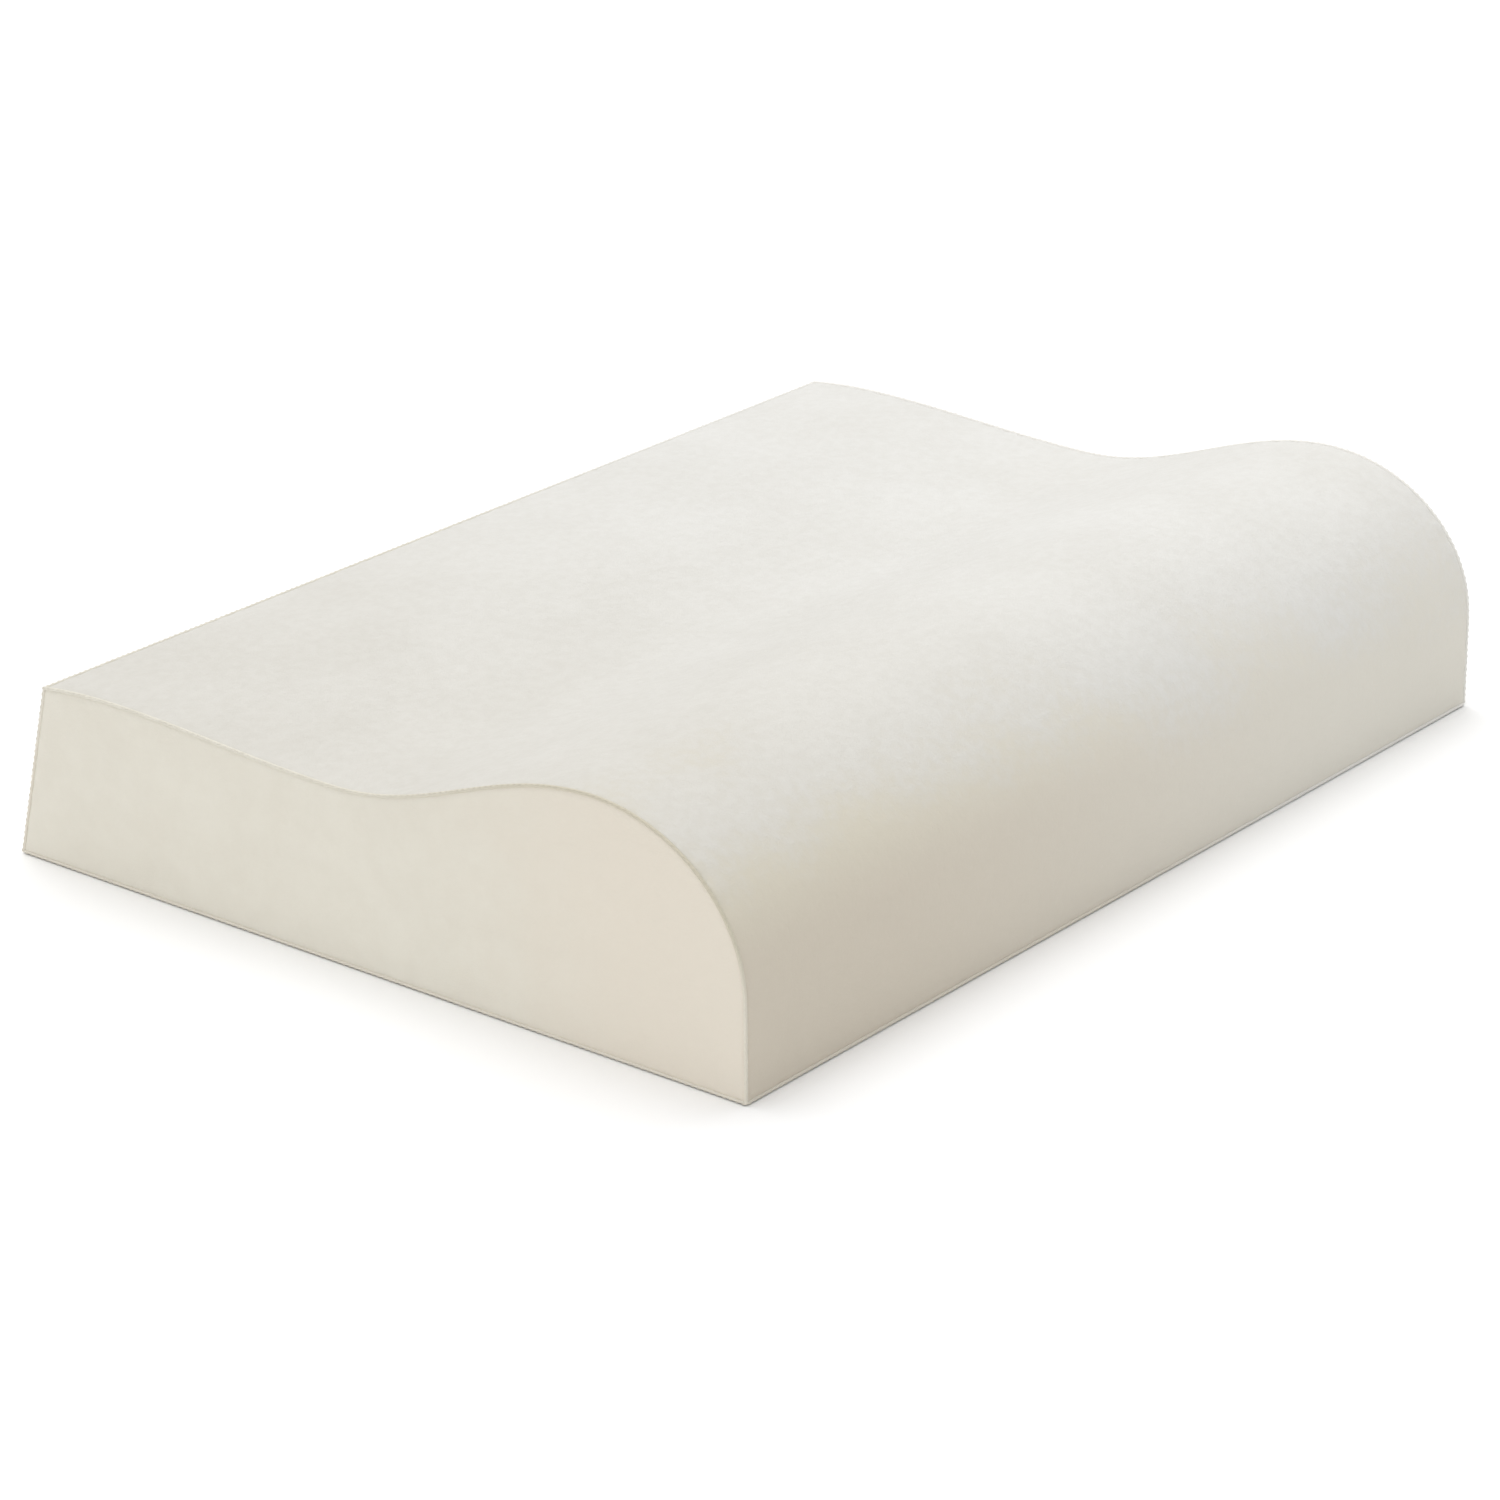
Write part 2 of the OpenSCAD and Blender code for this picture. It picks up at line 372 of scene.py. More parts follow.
@dataclass
class Outline:
    """The pillow's side outline, read off the frame's end panel: (y, z) points from front foot to rear."""

    step: float = 1.0 * MM
    smoothing: float = 5.0 * MM
    corners: np.ndarray = field(init=False)
    top: np.ndarray = field(init=False)

    def __post_init__(self) -> None:
        """Read the panel's rim and grow it by the seam's width."""
        low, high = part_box("seam_left_end")
        self.corners = self.grown(self.rim("cover_left_end_panel"), high.x - low.x)
        self.top = self.smoothed(self.corners[:-1])

    @staticmethod
    def rim(node: str) -> np.ndarray:
        """The rim of a CAD end panel's outer face.

        Args:
            node: The panel's node.

        Returns:
            Its (y, z) points in order, from the front foot up the front face.
        """
        mesh = bmesh.new()
        mesh.from_mesh(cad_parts[node].data)
        bmesh.ops.remove_doubles(mesh, verts=mesh.verts, dist=1e-6)
        outer = {f for f in mesh.faces if f.normal.x < -0.9}
        edges = [e for e in mesh.edges if sum(f in outer for f in e.link_faces) == 1]
        links: dict[int, list[int]] = {}
        for a, b in ([v.index for v in e.verts] for e in edges):
            links.setdefault(a, []).append(b)
            links.setdefault(b, []).append(a)
        mesh.verts.ensure_lookup_table()
        place = {i: np.array(mesh.verts[i].co[1:]) for i in links}
        mesh.free()
        start = min(links, key=lambda i: place[i].sum())
        order = [start, max(links[start], key=lambda i: place[i][1])]
        while True:
            onward = next(i for i in links[order[-1]] if i != order[-2])
            if onward == start:
                break
            order.append(onward)
        return np.array([place[i] for i in order])

    @staticmethod
    def grown(points: np.ndarray, by: float) -> np.ndarray:
        """Move the sides of an outline outwards.

        Args:
            points: The corners of a clockwise outline.
            by: How much further out each side stands.

        Returns:
            The new corners.
        """
        side = unit(np.roll(points, -1, axis=0) - points)
        after = np.stack([-side[:, 1], side[:, 0]], axis=1)
        before = np.roll(after, 1, axis=0)
        return points + by * (before + after) / (1 + (before * after).sum(1))[:, None]

    def smoothed(self, points: np.ndarray) -> np.ndarray:
        """Round off the facets of a line.

        Args:
            points: The line's corners.

        Returns:
            The same line with closer points, and its ends where they were.
        """
        run = run_along(points)
        at = np.linspace(0, run[-1], round(run[-1] / self.step) + 1)
        line = np.stack([np.interp(at, run, points[:, k]) for k in (0, 1)], axis=1)
        reach = round(3 * self.smoothing / self.step)
        weight = np.exp(-0.5 * (np.arange(-reach, reach + 1) * self.step / self.smoothing) ** 2)
        weight /= weight.sum()
        padded = np.vstack(
            [2 * line[0] - line[reach:0:-1], line, 2 * line[-1] - line[-2 : -reach - 2 : -1]]
        )
        return np.stack([np.convolve(padded[:, k], weight, "valid") for k in (0, 1)], axis=1)

    @property
    def length(self) -> float:
        """The length of the line from the front foot over the top to the rear top edge."""
        return float(run_along(self.top)[-1])

    @property
    def deep(self) -> float:
        """The pillow's depth at its base."""
        return self.corners[-1][0] - self.corners[0][0]

    def at(self, run: np.ndarray) -> tuple[np.ndarray, np.ndarray]:
        """Places on the line over the top.

        Args:
            run: Distances along it from the front foot.

        Returns:
            The (y, z) points there, and the outward normals.
        """
        own = run_along(self.top)
        along = unit(np.gradient(self.top, axis=0))
        points = np.stack([np.interp(run, own, self.top[:, k]) for k in (0, 1)], axis=1)
        normal = np.stack([np.interp(run, own, -along[:, 1]), np.interp(run, own, along[:, 0])], axis=1)
        return points, unit(normal)

    def ring(self, inset: float, step: float = 3.0 * MM) -> np.ndarray:
        """The whole outline set in by a distance, with closer points.

        Args:
            inset: How far each side stands in.
            step: About how far apart the points are.

        Returns:
            (y, z) points all round, from the front foot.
        """
        count = round(self.length / step)
        line = self.at(np.linspace(0, self.length, count + 1))[0]
        rear = self.between(line[-1], self.corners[-1], step)
        base = self.between(self.corners[-1], self.corners[0], step)
        return self.grown(np.vstack([line, rear[1:], base[1:-1]]), -inset)

    @staticmethod
    def between(a: np.ndarray, b: np.ndarray, step: float) -> np.ndarray:
        """Evenly spaced points from a to b, about that far apart."""
        count = max(1, round(float(np.linalg.norm(b - a)) / step))
        return a + (b - a) * np.linspace(0, 1, count + 1)[:, None]


@dataclass
class RearFace:
    """The leaning rear face, with its own axes: x along the pillow, up the face, and out from it."""

    outline: Outline
    half_high: float = field(init=False)
    matrix: Matrix = field(init=False)

    def __post_init__(self) -> None:
        """Stand x, down and outwards on the middle of the face."""
        top, foot = self.outline.top[-1], self.outline.corners[-1]
        up = unit(top - foot)
        middle = (top + foot) / 2
        self.half_high = float(np.linalg.norm(top - foot)) / 2
        self.matrix = Matrix(
            ((1, 0, 0, 0), (0, -up[0], up[1], middle[0]), (0, -up[1], -up[0], middle[1]), (0, 0, 0, 1))
        )

    @property
    def outward(self) -> np.ndarray:
        """The direction straight out from the face."""
        return np.array(self.matrix)[:3, 2]

    def points(self, x: np.ndarray, up: np.ndarray, out: np.ndarray) -> np.ndarray:
        """Points on or near the face.

        Args:
            x: Their places along the pillow.
            up: How far each lies up the face from its middle line.
            out: How far each lies out from it.

        Returns:
            The points, in the frame's axes.
        """
        flat = np.stack(np.broadcast_arrays(x, -np.asarray(up), out), axis=-1)
        turn = np.array(self.matrix)
        return flat @ turn[:3, :3].T + turn[:3, 3]

    def stand(self, piece: Piece, x: float) -> Piece:
        """Move a piece's mesh from the face's own axes to that x along it."""
        piece.data.transform(self.matrix @ Matrix.Translation((x, 0, 0)))
        return piece


# ---------------------------------------------------------------- cloth


BESIDE_A_SEAM = np.array([0, 0.12, 0.3, 0.55, 0.85, 1.2, 1.7, 2.4, 3.4, 4.8]) * MM


def roll(distance: np.ndarray, reach: float) -> np.ndarray:
    """How far a rolled cloth edge has gone down at each distance from its seam: 1 there, 0 at its reach."""
    inside = np.clip(1 - distance / reach, 0, 1)
    return 1 - np.sqrt(np.maximum(1 - inside**2, 0))


def seam_steps(length: float, step: float) -> np.ndarray:
    """Distances along a length that lie close together near both of its ends.

    Args:
        length: The whole length.
        step: The spacing away from the ends.

    Returns:
        The distances, from 0 to the length.
    """
    start = BESIDE_A_SEAM[-1] + step / 2
    count = max(2, round((length - 2 * start) / step))
    middle = np.linspace(start, length - start, count + 1)
    return np.concatenate([BESIDE_A_SEAM, middle, (length - BESIDE_A_SEAM)[::-1]])


@dataclass
class Sheet:
    """A cloth panel as a grid of points with normals, which may close round on itself."""

    points: np.ndarray
    normals: np.ndarray
    uv: np.ndarray
    closed: bool = False

    def faces(self) -> list[tuple[int, ...]]:
        """Join the points by faces.

        Returns:
            The grid's quads, and the middle of a closed one.
        """
        rows, columns = self.points.shape[:2]
        across = columns if self.closed else columns - 1
        quads = [
            (
                i * columns + j,
                i * columns + (j + 1) % columns,
                (i + 1) * columns + (j + 1) % columns,
                (i + 1) * columns + j,
            )
            for i in range(rows - 1)
            for j in range(across)
        ]
        if self.closed:
            quads.append(tuple((rows - 1) * columns + j for j in range(columns)))
        return quads

    def bare(self, name: str) -> Piece:
        """The sheet without thickness.

        Args:
            name: The piece's name.

        Returns:
            The new piece, whose faces point along the sheet's normals.
        """
        piece = new_piece(name, self.points.reshape(-1, 3), self.faces())
        middle = piece.data.polygons[len(piece.data.polygons) // 2]
        wanted = self.normals.reshape(-1, 3)[middle.vertices[0]]
        if middle.normal.dot(Vector(wanted)) < 0:
            piece.data.flip_normals()
        return piece

    def piece(self, name: str, thickness: float) -> Piece:
        """The sheet as a closed shell of cloth.

        Args:
            name: The piece's name.
            thickness: How thick the cloth is, inwards from the sheet.

        Returns:
            The new piece, with its UV map in metres.
        """
        piece = self.bare(name)
        layer = piece.data.uv_layers.new(name="cloth")
        corners = np.zeros(len(piece.data.loops), int)
        piece.data.loops.foreach_get("vertex_index", corners)
        layer.data.foreach_set("uv", self.uv.reshape(-1, 2)[corners].ravel())
        modify(piece, "SOLIDIFY", thickness=thickness, offset=-1.0, use_even_offset=False)
        smooth_by(piece, 50)
        return piece


@dataclass(frozen=True)
class Swell:
    """Lets a sheet that is sewn down round its border swell between its seams, by cloth simulation."""

    limit: float
    pressure: float = 3.0
    stiffness: float = 12.0
    bending: float = 2.0
    mass: float = 0.3
    quality: int = 6
    frames: int = 18
    every: int = 2
    smoothings: int = 3

    def offsets(self, sheet: Sheet) -> np.ndarray:
        """Simulate a coarser copy of a sheet.

        Args:
            sheet: The sheet, which isn't changed.

        Returns:
            How far each point of the sheet moves outwards, at most about the limit.
        """
        rows, columns = sheet.points.shape[:2]
        pick_r = np.unique(np.append(np.arange(0, rows, self.every), rows - 1))
        pick_c = np.unique(np.append(np.arange(0, columns, self.every), columns - 1))
        if sheet.closed:
            pick_c = np.arange(0, columns, self.every)
        picked = np.ix_(pick_r, pick_c)
        coarse = Sheet(sheet.points[picked], sheet.normals[picked], sheet.uv[picked], sheet.closed)
        out = ((self.simulate(coarse) - coarse.points) * coarse.normals).sum(2)
        out = self.limit * np.tanh(out / max(float(np.abs(out).max()), 1e-9))
        if sheet.closed:
            pick_c = np.append(pick_c, columns)
            out = np.hstack([out, out[:, :1]])
        wide = np.stack([np.interp(np.arange(columns), pick_c, row) for row in out])
        full = np.stack([np.interp(np.arange(rows), pick_r, column) for column in wide.T], axis=1)
        return self.smoothed(full, sheet.closed)

    def simulate(self, sheet: Sheet) -> np.ndarray:
        """Run Blender's cloth on a sheet, pinned round its border.

        Args:
            sheet: The sheet.

        Returns:
            Its points at the end.
        """
        rows, columns = sheet.points.shape[:2]
        piece = sheet.bare("swelling")
        border = np.zeros((rows, columns), bool)
        border[0] = True
        if not sheet.closed:
            border[-1] = border[:, 0] = border[:, -1] = True
        group = piece.vertex_groups.new(name="sewn")
        group.add([int(i) for i in np.flatnonzero(border.ravel())], 1.0, "REPLACE")
        cloth = piece.modifiers.new("cloth", "CLOTH")
        settings = cloth.settings
        settings.quality = self.quality
        settings.mass = self.mass
        settings.tension_stiffness = settings.compression_stiffness = self.stiffness
        settings.shear_stiffness = self.stiffness / 2
        settings.bending_stiffness = self.bending
        settings.vertex_group_mass = "sewn"
        settings.use_pressure = True
        settings.uniform_pressure_force = self.pressure
        settings.effector_weights.gravity = 0.0
        cloth.collision_settings.use_collision = False
        scene = bpy.context.scene
        for number in range(1, self.frames + 1):
            scene.frame_set(number)
        seen = piece.evaluated_get(bpy.context.evaluated_depsgraph_get())
        points = np.zeros(rows * columns * 3)
        seen.data.vertices.foreach_get("co", points)
        scene.frame_set(1)
        bpy.data.objects.remove(piece)
        return points.reshape(rows, columns, 3)

    def smoothed(self, full: np.ndarray, closed: bool) -> np.ndarray:
        """Smooth a grid of values.

        Args:
            full: A value for each row and column.
            closed: Whether the last column meets the first.

        Returns:
            The same grid, smoothed, with the border of an open one kept.
        """
        for _ in range(self.smoothings):
            full[1:-1] = (full[:-2] + 2 * full[1:-1] + full[2:]) / 4
            if closed:
                full = (np.roll(full, 1, axis=1) + 2 * full + np.roll(full, -1, axis=1)) / 4
            else:
                full[:, 1:-1] = (full[:, :-2] + 2 * full[:, 1:-1] + full[:, 2:]) / 4
        return full


def drift(a: np.ndarray, b: np.ndarray, size: float) -> np.ndarray:
    """Slow uneven waves over a surface, as a cut foam block has.

    Args:
        a: Distance along the surface one way, in metres.
        b: Distance the other way.
        size: The waves' height.

    Returns:
        A height at each place.
    """
    waves = (
        np.sin(a * 31 + 1.3) * np.sin(b * 19 + 0.4)
        + 0.7 * np.sin(a * 53 + b * 17 + 2.1)
        + 0.5 * np.sin(b * 61 - a * 23 + 0.9)
    )
    return size * waves / 2.2


def distance_to(points: np.ndarray, line: np.ndarray) -> np.ndarray:
    """The distance from each flat point to a closed line.

    Args:
        points: Points in the last axis of an array of any shape.
        line: The line's corners.

    Returns:
        The distances.
    """
    flat = points.reshape(-1, 2)
    side = np.roll(line, -1, axis=0) - line
    nearest = np.full(len(flat), np.inf)
    for start, step in zip(line, side):
        off = flat - start
        part = np.clip(off @ step / (step @ step), 0, 1)
        nearest = np.minimum(nearest, ((off - part[:, None] * step) ** 2).sum(axis=1))
    return np.sqrt(nearest).reshape(points.shape[:-1])


def puckers(distance: np.ndarray, run: np.ndarray, height: float, pitch: float = 10.0 * MM) -> np.ndarray:
    """The small gathers along a seam.

    Args:
        distance: Distance from the seam.
        run: Distance along the seam.
        height: How high a gather stands beside the seam.
        pitch: About how far apart the gathers are.

    Returns:
        A height at each place.
    """
    turn = 2 * math.pi * run / pitch
    wave = np.sin(turn + 1.7 * np.sin(turn / 5.3)) * (0.6 + 0.4 * np.sin(turn / 7.9 + 1))
    return height * wave * np.exp(-distance / (4.5 * MM)) * np.clip(distance / (0.8 * MM), 0, 1)


# ---------------------------------------------------------------- finishes


def srgb(red: int, green: int, blue: int) -> Colour:
    """A colour given as 0-255 display values, as linear light."""
    parts = [c / 255 for c in (red, green, blue)]
    return tuple(c / 12.92 if c <= 0.04045 else ((c + 0.055) / 1.055) ** 2.4 for c in parts)


@dataclass
class Tree:
    """A material's node tree while it is being built."""

    material: bpy.types.Material
    shader: Node = field(init=False)

    def __post_init__(self) -> None:
        """Keep only a Principled shader and the output."""
        self.material.use_nodes = True
        self.material.node_tree.nodes.clear()
        self.shader = self.add("ShaderNodeBsdfPrincipled")
        self.link(self.shader.outputs["BSDF"], self.add("ShaderNodeOutputMaterial").inputs["Surface"])

    def add(self, kind: str, **settings: object) -> Node:
        """Add a node.

        Args:
            kind: The node's type.
            settings: Its settings.

        Returns:
            The node.
        """
        node = self.material.node_tree.nodes.new(kind)
        for key, value in settings.items():
            setattr(node, key, value)
        return node

    def link(self, out: Socket, into: Socket) -> None:
        """Join two sockets."""
        self.material.node_tree.links.new(out, into)

    def into(self, name: str, value: Socket) -> None:
        """Join a socket to the shader's own socket of that name."""
        self.link(value, self.shader.inputs[name])

    def place(self, scale: Triple = (1, 1, 1), uv: bool = False) -> Socket:
        """Coordinates in metres.

        Args:
            scale: How they are stretched.
            uv: Whether they are the piece's UV map, or else its Object coordinates.

        Returns:
            The socket that gives them.
        """
        mapping = self.add("ShaderNodeMapping")
        mapping.inputs["Scale"].default_value = scale
        self.link(self.add("ShaderNodeTexCoord").outputs["UV" if uv else "Object"], mapping.inputs["Vector"])
        return mapping.outputs["Vector"]

    def axes(self, where: Socket) -> Node:
        """Part coordinates into X, Y and Z.

        Args:
            where: The coordinates.

        Returns:
            The node whose outputs they are.
        """
        node = self.add("ShaderNodeSeparateXYZ")
        self.link(where, node.inputs[0])
        return node

    def noise(self, where: Socket, size: float, detail: float = 3.0, rough: float = 0.55) -> Socket:
        """A noise.

        Args:
            where: The coordinates.
            size: About how many metres across its blotches are.
            detail: How many finer layers it has.
            rough: How strong they are.

        Returns:
            Its value.
        """
        node = self.add("ShaderNodeTexNoise")
        node.inputs["Scale"].default_value = 1 / size
        node.inputs["Detail"].default_value = detail
        node.inputs["Roughness"].default_value = rough
        self.link(where, node.inputs["Vector"])
        return node.outputs["Fac"]

    def cells(self, where: Socket, size: float) -> Socket:
        """Cells that many metres across, as the distance from each one's middle.

        Args:
            where: The coordinates.
            size: The cells' size.

        Returns:
            The distance, as a share of the size.
        """
        node = self.add("ShaderNodeTexVoronoi", feature="F1")
        node.inputs["Scale"].default_value = 1 / size
        self.link(where, node.inputs["Vector"])
        return node.outputs["Distance"]

    def waves(self, where: Socket, direction: str, pitch: float, **inputs: float) -> Socket:
        """Even bands.

        Args:
            where: The coordinates.
            direction: The direction in which they follow each other.
            pitch: How many metres apart they are.
            inputs: The node's other inputs.

        Returns:
            Their value.
        """
        node = self.add("ShaderNodeTexWave", wave_type="BANDS", bands_direction=direction)
        for name, value in (("Scale", 1 / (pitch * 3.2)), *inputs.items()):
            node.inputs[name].default_value = value
        self.link(where, node.inputs["Vector"])
        return node.outputs["Fac"]

    def ramp(self, value: Socket, low: float, high: float, a: float, b: float) -> Socket:
        """Stretch a value.

        Args:
            value: The value.
            low: Where it starts to count.
            high: Where it stops.
            a: The result at low.
            b: The result at high.

        Returns:
            The result.
        """
        node = self.add("ShaderNodeMapRange", interpolation_type="SMOOTHSTEP")
        for name, number in (("From Min", low), ("From Max", high), ("To Min", a), ("To Max", b)):
            node.inputs[name].default_value = number
        self.link(value, node.inputs["Value"])
        return node.outputs["Result"]

    def spread(self, noise: Socket, a: float, b: float) -> Socket:
        """Stretch the middle of a noise, where nearly all of its values lie, to a..b."""
        return self.ramp(noise, 0.3, 0.7, a, b)

    def sum(self, *values: Socket, kind: str = "ADD") -> Socket:
        """Add values.

        Args:
            values: The values.
            kind: What to do with them, if not to add them.

        Returns:
            The result.
        """
        total = values[0]
        for value in values[1:]:
            node = self.add("ShaderNodeMath", operation=kind)
            self.link(total, node.inputs[0])
            self.link(value, node.inputs[1])
            total = node.outputs["Value"]
        return total

    def mix(self, factor: Socket, a: Socket | Colour, b: Socket | Colour, kind: str = "MIX") -> Socket:
        """Mix two colours.

        Args:
            factor: The share of the second.
            a: The first, as a colour or a socket.
            b: The second, as a colour or a socket.
            kind: How they mix.

        Returns:
            The mixed colour.
        """
        node = self.add("ShaderNodeMix", data_type="RGBA", blend_type=kind)
        share, first, second = (node.inputs[i] for i in (0, 6, 7))
        self.link(factor, share)
        for colour, socket in ((a, first), (b, second)):
            if isinstance(colour, tuple):
                socket.default_value = (*colour, 1)
            else:
                self.link(colour, socket)
        return node.outputs[2]

    def bump(self, height: Socket, depth: float, under: Socket | None = None) -> Socket:
        """A bump.

        Args:
            height: Its height, from 0 to 1.
            depth: How many metres that stands for.
            under: The normal of another bump, on which it lies.

        Returns:
            The normal.
        """
        node = self.add("ShaderNodeBump")
        node.inputs["Strength"].default_value = 1.0
        node.inputs["Distance"].default_value = depth
        self.link(height, node.inputs["Height"])
        if under is not None:
            self.link(under, node.inputs["Normal"])
        return node.outputs["Normal"]

    def set(self, **values: object) -> None:
        """Set the shader's own inputs, with _ for a space in a name."""
        for key, value in values.items():
            self.shader.inputs[key.replace("_", " ")].default_value = value


@dataclass(frozen=True)
class Velour:
    """A short-pile cloth, mottled and napped, with painted shade: a darker, warmer tone where it turns down
    the front, and darker towards the near (left) end.
    """

    slot: Slot
    light: Colour
    dark: Colour
    # Painted shade: the next three colours are the front face's tone in shade, at mid height, lower down and
    # at the far end; the three ranges after them set where that shade falls.
    front: Colour
    low_front_shade: Colour | None = None
    far_front_shade: Colour | None = None
    front_shade_y: tuple[float, float] = (-0.02, -0.16)
    front_shade_z: tuple[float, float] | None = None
    low_shade_z: tuple[float, float] = (0.085, 0.05)
    # Painted shade: the next colour multiplies the cloth darker towards the near (left) end, over the range
    # after it.
    near: Colour = (1.0, 1.0, 1.0)
    near_shade_x: tuple[float, float] = (0.16, -0.26)
    broad: float = 70 * MM
    nap: float = 0.7 * MM
    nap_depth: float = 0.11 * MM
    lint: float = 1.3 * MM
    blotch: float = 5.0 * MM
    blotch_depth: float = 0.35 * MM
    sheen: float = 0.25
    rough: float = 0.92

    def material(self) -> bpy.types.Material:
        """Build the cloth's material.

        Returns:
            The material.
        """
        tree = Tree(bpy.data.materials.new(f"velour_{self.slot.value}"))
        where = tree.place()
        broad = tree.noise(where, self.broad, 2)
        blotch = tree.noise(where, self.blotch, 4, 0.6)
        nap = tree.noise(where, self.nap, 2, 0.7)
        tone = tree.sum(
            tree.spread(broad, 0.1, 0.42), tree.spread(blotch, 0, 0.35), tree.spread(nap, 0, 0.16)
        )
        axes = tree.axes(where)
        uneven = tree.sum(tree.spread(blotch, -0.005, 0.005), tree.spread(broad, -0.01, 0.01))
        # Painted shade: the front face's shaded tone takes over where the cloth turns down the front.
        toward = self.front_shade_share(tree, axes, uneven)
        colour = tree.mix(toward, tree.mix(tone, self.dark, self.light), self.turned(tree, axes))
        # Painted shade: darker towards the near (left) end.
        colour = tree.mix(tree.ramp(axes.outputs["X"], *self.near_shade_x, 0, 1), colour, self.near, "MULTIPLY")
        tree.into("Base Color", colour)
        tree.into("Roughness", tree.spread(nap, self.rough - 0.08, self.rough + 0.06))
        soft = tree.bump(blotch, self.blotch_depth)
        soft = tree.bump(tree.cells(where, self.lint), self.nap_depth * 0.5, soft)
        tree.into("Normal", tree.bump(nap, self.nap_depth, soft))
        tree.set(Sheen_Weight=self.sheen, Sheen_Roughness=0.5, Specular_IOR_Level=0.25)
        return tree.material

    def front_shade_share(self, tree: Tree, axes: Node, uneven: Socket) -> Socket:
        """How far the front's painted shade has taken over at each place.

        Args:
            tree: The material's tree.
            axes: The coordinates.
            uneven: A small unevenness, in metres.

        Returns:
            The share, from 0 to 0.95.
        """
        if self.front_shade_z is None:
            return tree.ramp(tree.sum(axes.outputs["Y"], uneven), *self.front_shade_y, 0, 0.95)
        slant = tree.ramp(axes.outputs["X"], -0.25, 0.25, -0.006, 0.022)
        height = tree.sum(axes.outputs["Z"], slant, uneven)
        lobe = tree.ramp(axes.outputs["Y"], -0.1, -0.118, 0, 1)
        return tree.sum(tree.ramp(height, *self.front_shade_z, 0, 0.95), lobe, kind="MULTIPLY")

    def turned(self, tree: Tree, axes: Node) -> Socket:
        """The colour of the front's painted shade, which changes with height and along the pillow.

        Args:
            tree: The material's tree.
            axes: The coordinates.

        Returns:
            The colour.
        """
        low = tree.ramp(axes.outputs["Z"], *self.low_shade_z, 0, 1)
        front = tree.mix(low, self.front, self.low_front_shade or self.front)
        return tree.mix(tree.ramp(axes.outputs["X"], -0.2, 0.2, 0, 1), front, self.far_front_shade or self.front)


@dataclass(frozen=True)
class Woven:
    """A flat woven or knitted cloth: threads both ways, slight slubs and tone changes."""

    name: str
    light: Colour
    dark: Colour
    across: float = 0.6 * MM
    along: float = 0.6 * MM
    depth: float = 0.08 * MM
    slub: float = 9 * MM
    slub_depth: float = 0.12 * MM
    broad: float = 45 * MM
    sheen: float = 0.1
    rough: float = 0.85
    anisotropic: float = 0.0

    def material(self) -> bpy.types.Material:
        """Build the cloth's material.

        Returns:
            The material.
        """
        tree = Tree(bpy.data.materials.new(self.name))
        where = tree.place(uv=True)
        threads = [
            tree.waves(where, direction, pitch, Distortion=0.6, Detail=1)
            for direction, pitch in (("X", self.across), ("Y", self.along))
        ]
        weave = tree.sum(*threads, kind="MULTIPLY")
        slub = tree.noise(tree.place((1, 7, 1), uv=True), self.slub)
        broad = tree.noise(tree.place(), self.broad, 2)
        tone = tree.sum(
            tree.spread(slub, 0, 0.4), tree.ramp(weave, 0, 1, 0, 0.35), tree.spread(broad, 0, 0.3)
        )
        tree.into("Base Color", tree.mix(tone, self.dark, self.light))
        tree.into("Roughness", tree.spread(slub, self.rough - 0.07, self.rough + 0.05))
        tree.into("Normal", tree.bump(weave, self.depth, tree.bump(slub, self.slub_depth)))
        tree.set(
            Sheen_Weight=self.sheen, Sheen_Roughness=0.4, Specular_IOR_Level=0.3, Anisotropic=self.anisotropic
        )
        return tree.material


@dataclass(frozen=True)
class Foam:
    """Open-cell foam: small dark cells in a pale block, slightly yellowed in places."""

    light: Colour
    dark: Colour
    cell: float = 1.1 * MM
    cell_depth: float = 0.5 * MM
    broad: float = 50 * MM

    def material(self) -> bpy.types.Material:
        """Build the foam's material.

        Returns:
            The material.
        """
        tree = Tree(bpy.data.materials.new("open_cell_foam"))
        where = tree.place()
        cells = tree.cells(where, self.cell)
        broad = tree.noise(where, self.broad)
        tone = tree.sum(tree.ramp(cells, 0, 0.6, 0, 0.6), tree.spread(broad, 0, 0.4))
        tree.into("Base Color", tree.mix(tone, self.dark, self.light))
        tree.into("Roughness", tree.spread(broad, 0.88, 1.0))
        tree.into("Normal", tree.bump(cells, self.cell_depth))
        tree.set(Specular_IOR_Level=0.2)
        return tree.material


